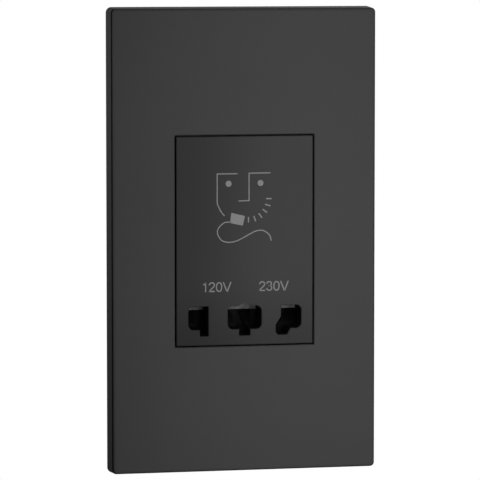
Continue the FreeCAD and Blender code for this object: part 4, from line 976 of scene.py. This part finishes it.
class SetStage(bpy.types.Operator):
    """Set the floor, the white surroundings, the soft lamps and the camera"""
    bl_idname = "shaver_socket.set_stage"
    bl_label = "Set stage"

    def execute(self, context):
        stage = context.scene.stage_settings
        scene = context.scene
        scene.view_settings.view_transform = "Standard"

        world = bpy.data.worlds.new("studio")
        world.use_nodes = True
        tree = world.node_tree
        ambient = feed(tree, tree.nodes["Background"], Color=WHITE, Strength=stage.ambient)
        seen_white(tree, ambient.outputs[0], tree.nodes["World Output"].inputs["Surface"])
        scene.world = world

        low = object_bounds()[0].z - FLOOR_DROP
        half = FLOOR_SIZE / 2
        mesh = bpy.data.meshes.new("floor")
        corners = ((-half, -half), (half, -half), (half, half), (-half, half))
        mesh.from_pydata([(x, y, low) for x, y in corners], [], [(0, 1, 2, 3)])
        floor = bpy.data.objects.new("floor", mesh)
        scene.collection.objects.link(floor)
        pale = bpy.data.materials.new("pale_floor")
        pale.use_nodes = True
        tree = pale.node_tree
        shader = feed(tree, tree.nodes["Principled BSDF"], Base_Color=FLOOR_GREY,
                      Roughness=FLOOR_ROUGHNESS)
        seen_white(tree, shader.outputs[0], tree.nodes["Material Output"].inputs["Surface"])
        mesh.materials.append(pale)
        floor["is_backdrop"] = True

        for name, place, target, width, height in LAMPS:
            add_lamp(name, place, target, width, height, getattr(stage, name))

        turn, lift = stage.azimuth, stage.elevation
        back = Vector((math.sin(turn) * math.cos(lift), -math.cos(turn) * math.cos(lift),
                       math.sin(lift)))
        data = bpy.data.cameras.new("camera")
        data.sensor_width = SENSOR
        data.lens = stage.focal_pixels / PICTURE_WIDTH * SENSOR
        data.clip_start = CLIP_START
        data.clip_end = CLIP_END
        camera = bpy.data.objects.new("camera", data)
        camera.location = back * stage.distance + Vector((stage.aim_across, 0.0, stage.aim_up))
        camera.rotation_mode = "QUATERNION"
        camera.rotation_quaternion = ((-back).to_track_quat("-Z", "Y")
                                      @ Quaternion((0.0, 0.0, 1.0), stage.roll))
        scene.collection.objects.link(camera)
        scene.camera = camera
        return {"FINISHED"}


# Panel and registration

OPERATORS = (FinishCasing, FinishInside, PrintSymbol, PrintDashes, PrintVoltages,
             MakeWallScrews, MakeTerminalScrews, SetStage)


class SocketPanel(bpy.types.Panel):
    """Lists the steps that dress the socket and set its stage"""
    bl_idname = "VIEW3D_PT_shaver_socket"
    bl_label = "Shaver Socket"
    bl_space_type = "VIEW_3D"
    bl_region_type = "UI"
    bl_category = "Shaver Socket"

    def draw(self, context):
        for name, kind in GROUPS_OF_SETTINGS:
            box = self.layout.box()
            for value in kind.__annotations__:
                box.prop(getattr(context.scene, name), value)
        for operator in OPERATORS:
            self.layout.operator(operator.bl_idname)


GROUPS_OF_SETTINGS = (("finish_settings", FinishSettings), ("print_settings", PrintSettings),
                      ("screw_settings", ScrewSettings), ("stage_settings", StageSettings))


def register():
    for name, group in GROUPS_OF_SETTINGS:
        bpy.utils.register_class(group)
        setattr(bpy.types.Scene, name, bpy.props.PointerProperty(type=group))
    for operator in OPERATORS:
        bpy.utils.register_class(operator)
    bpy.utils.register_class(SocketPanel)


def unregister():
    bpy.utils.unregister_class(SocketPanel)
    for operator in reversed(OPERATORS):
        bpy.utils.unregister_class(operator)
    for name, group in reversed(GROUPS_OF_SETTINGS):
        delattr(bpy.types.Scene, name)
        bpy.utils.unregister_class(group)


def main():
    register()
    for operator in OPERATORS:
        area, action = operator.bl_idname.split(".")
        getattr(getattr(bpy.ops, area), action)()


if __name__ == "__main__":
    main()
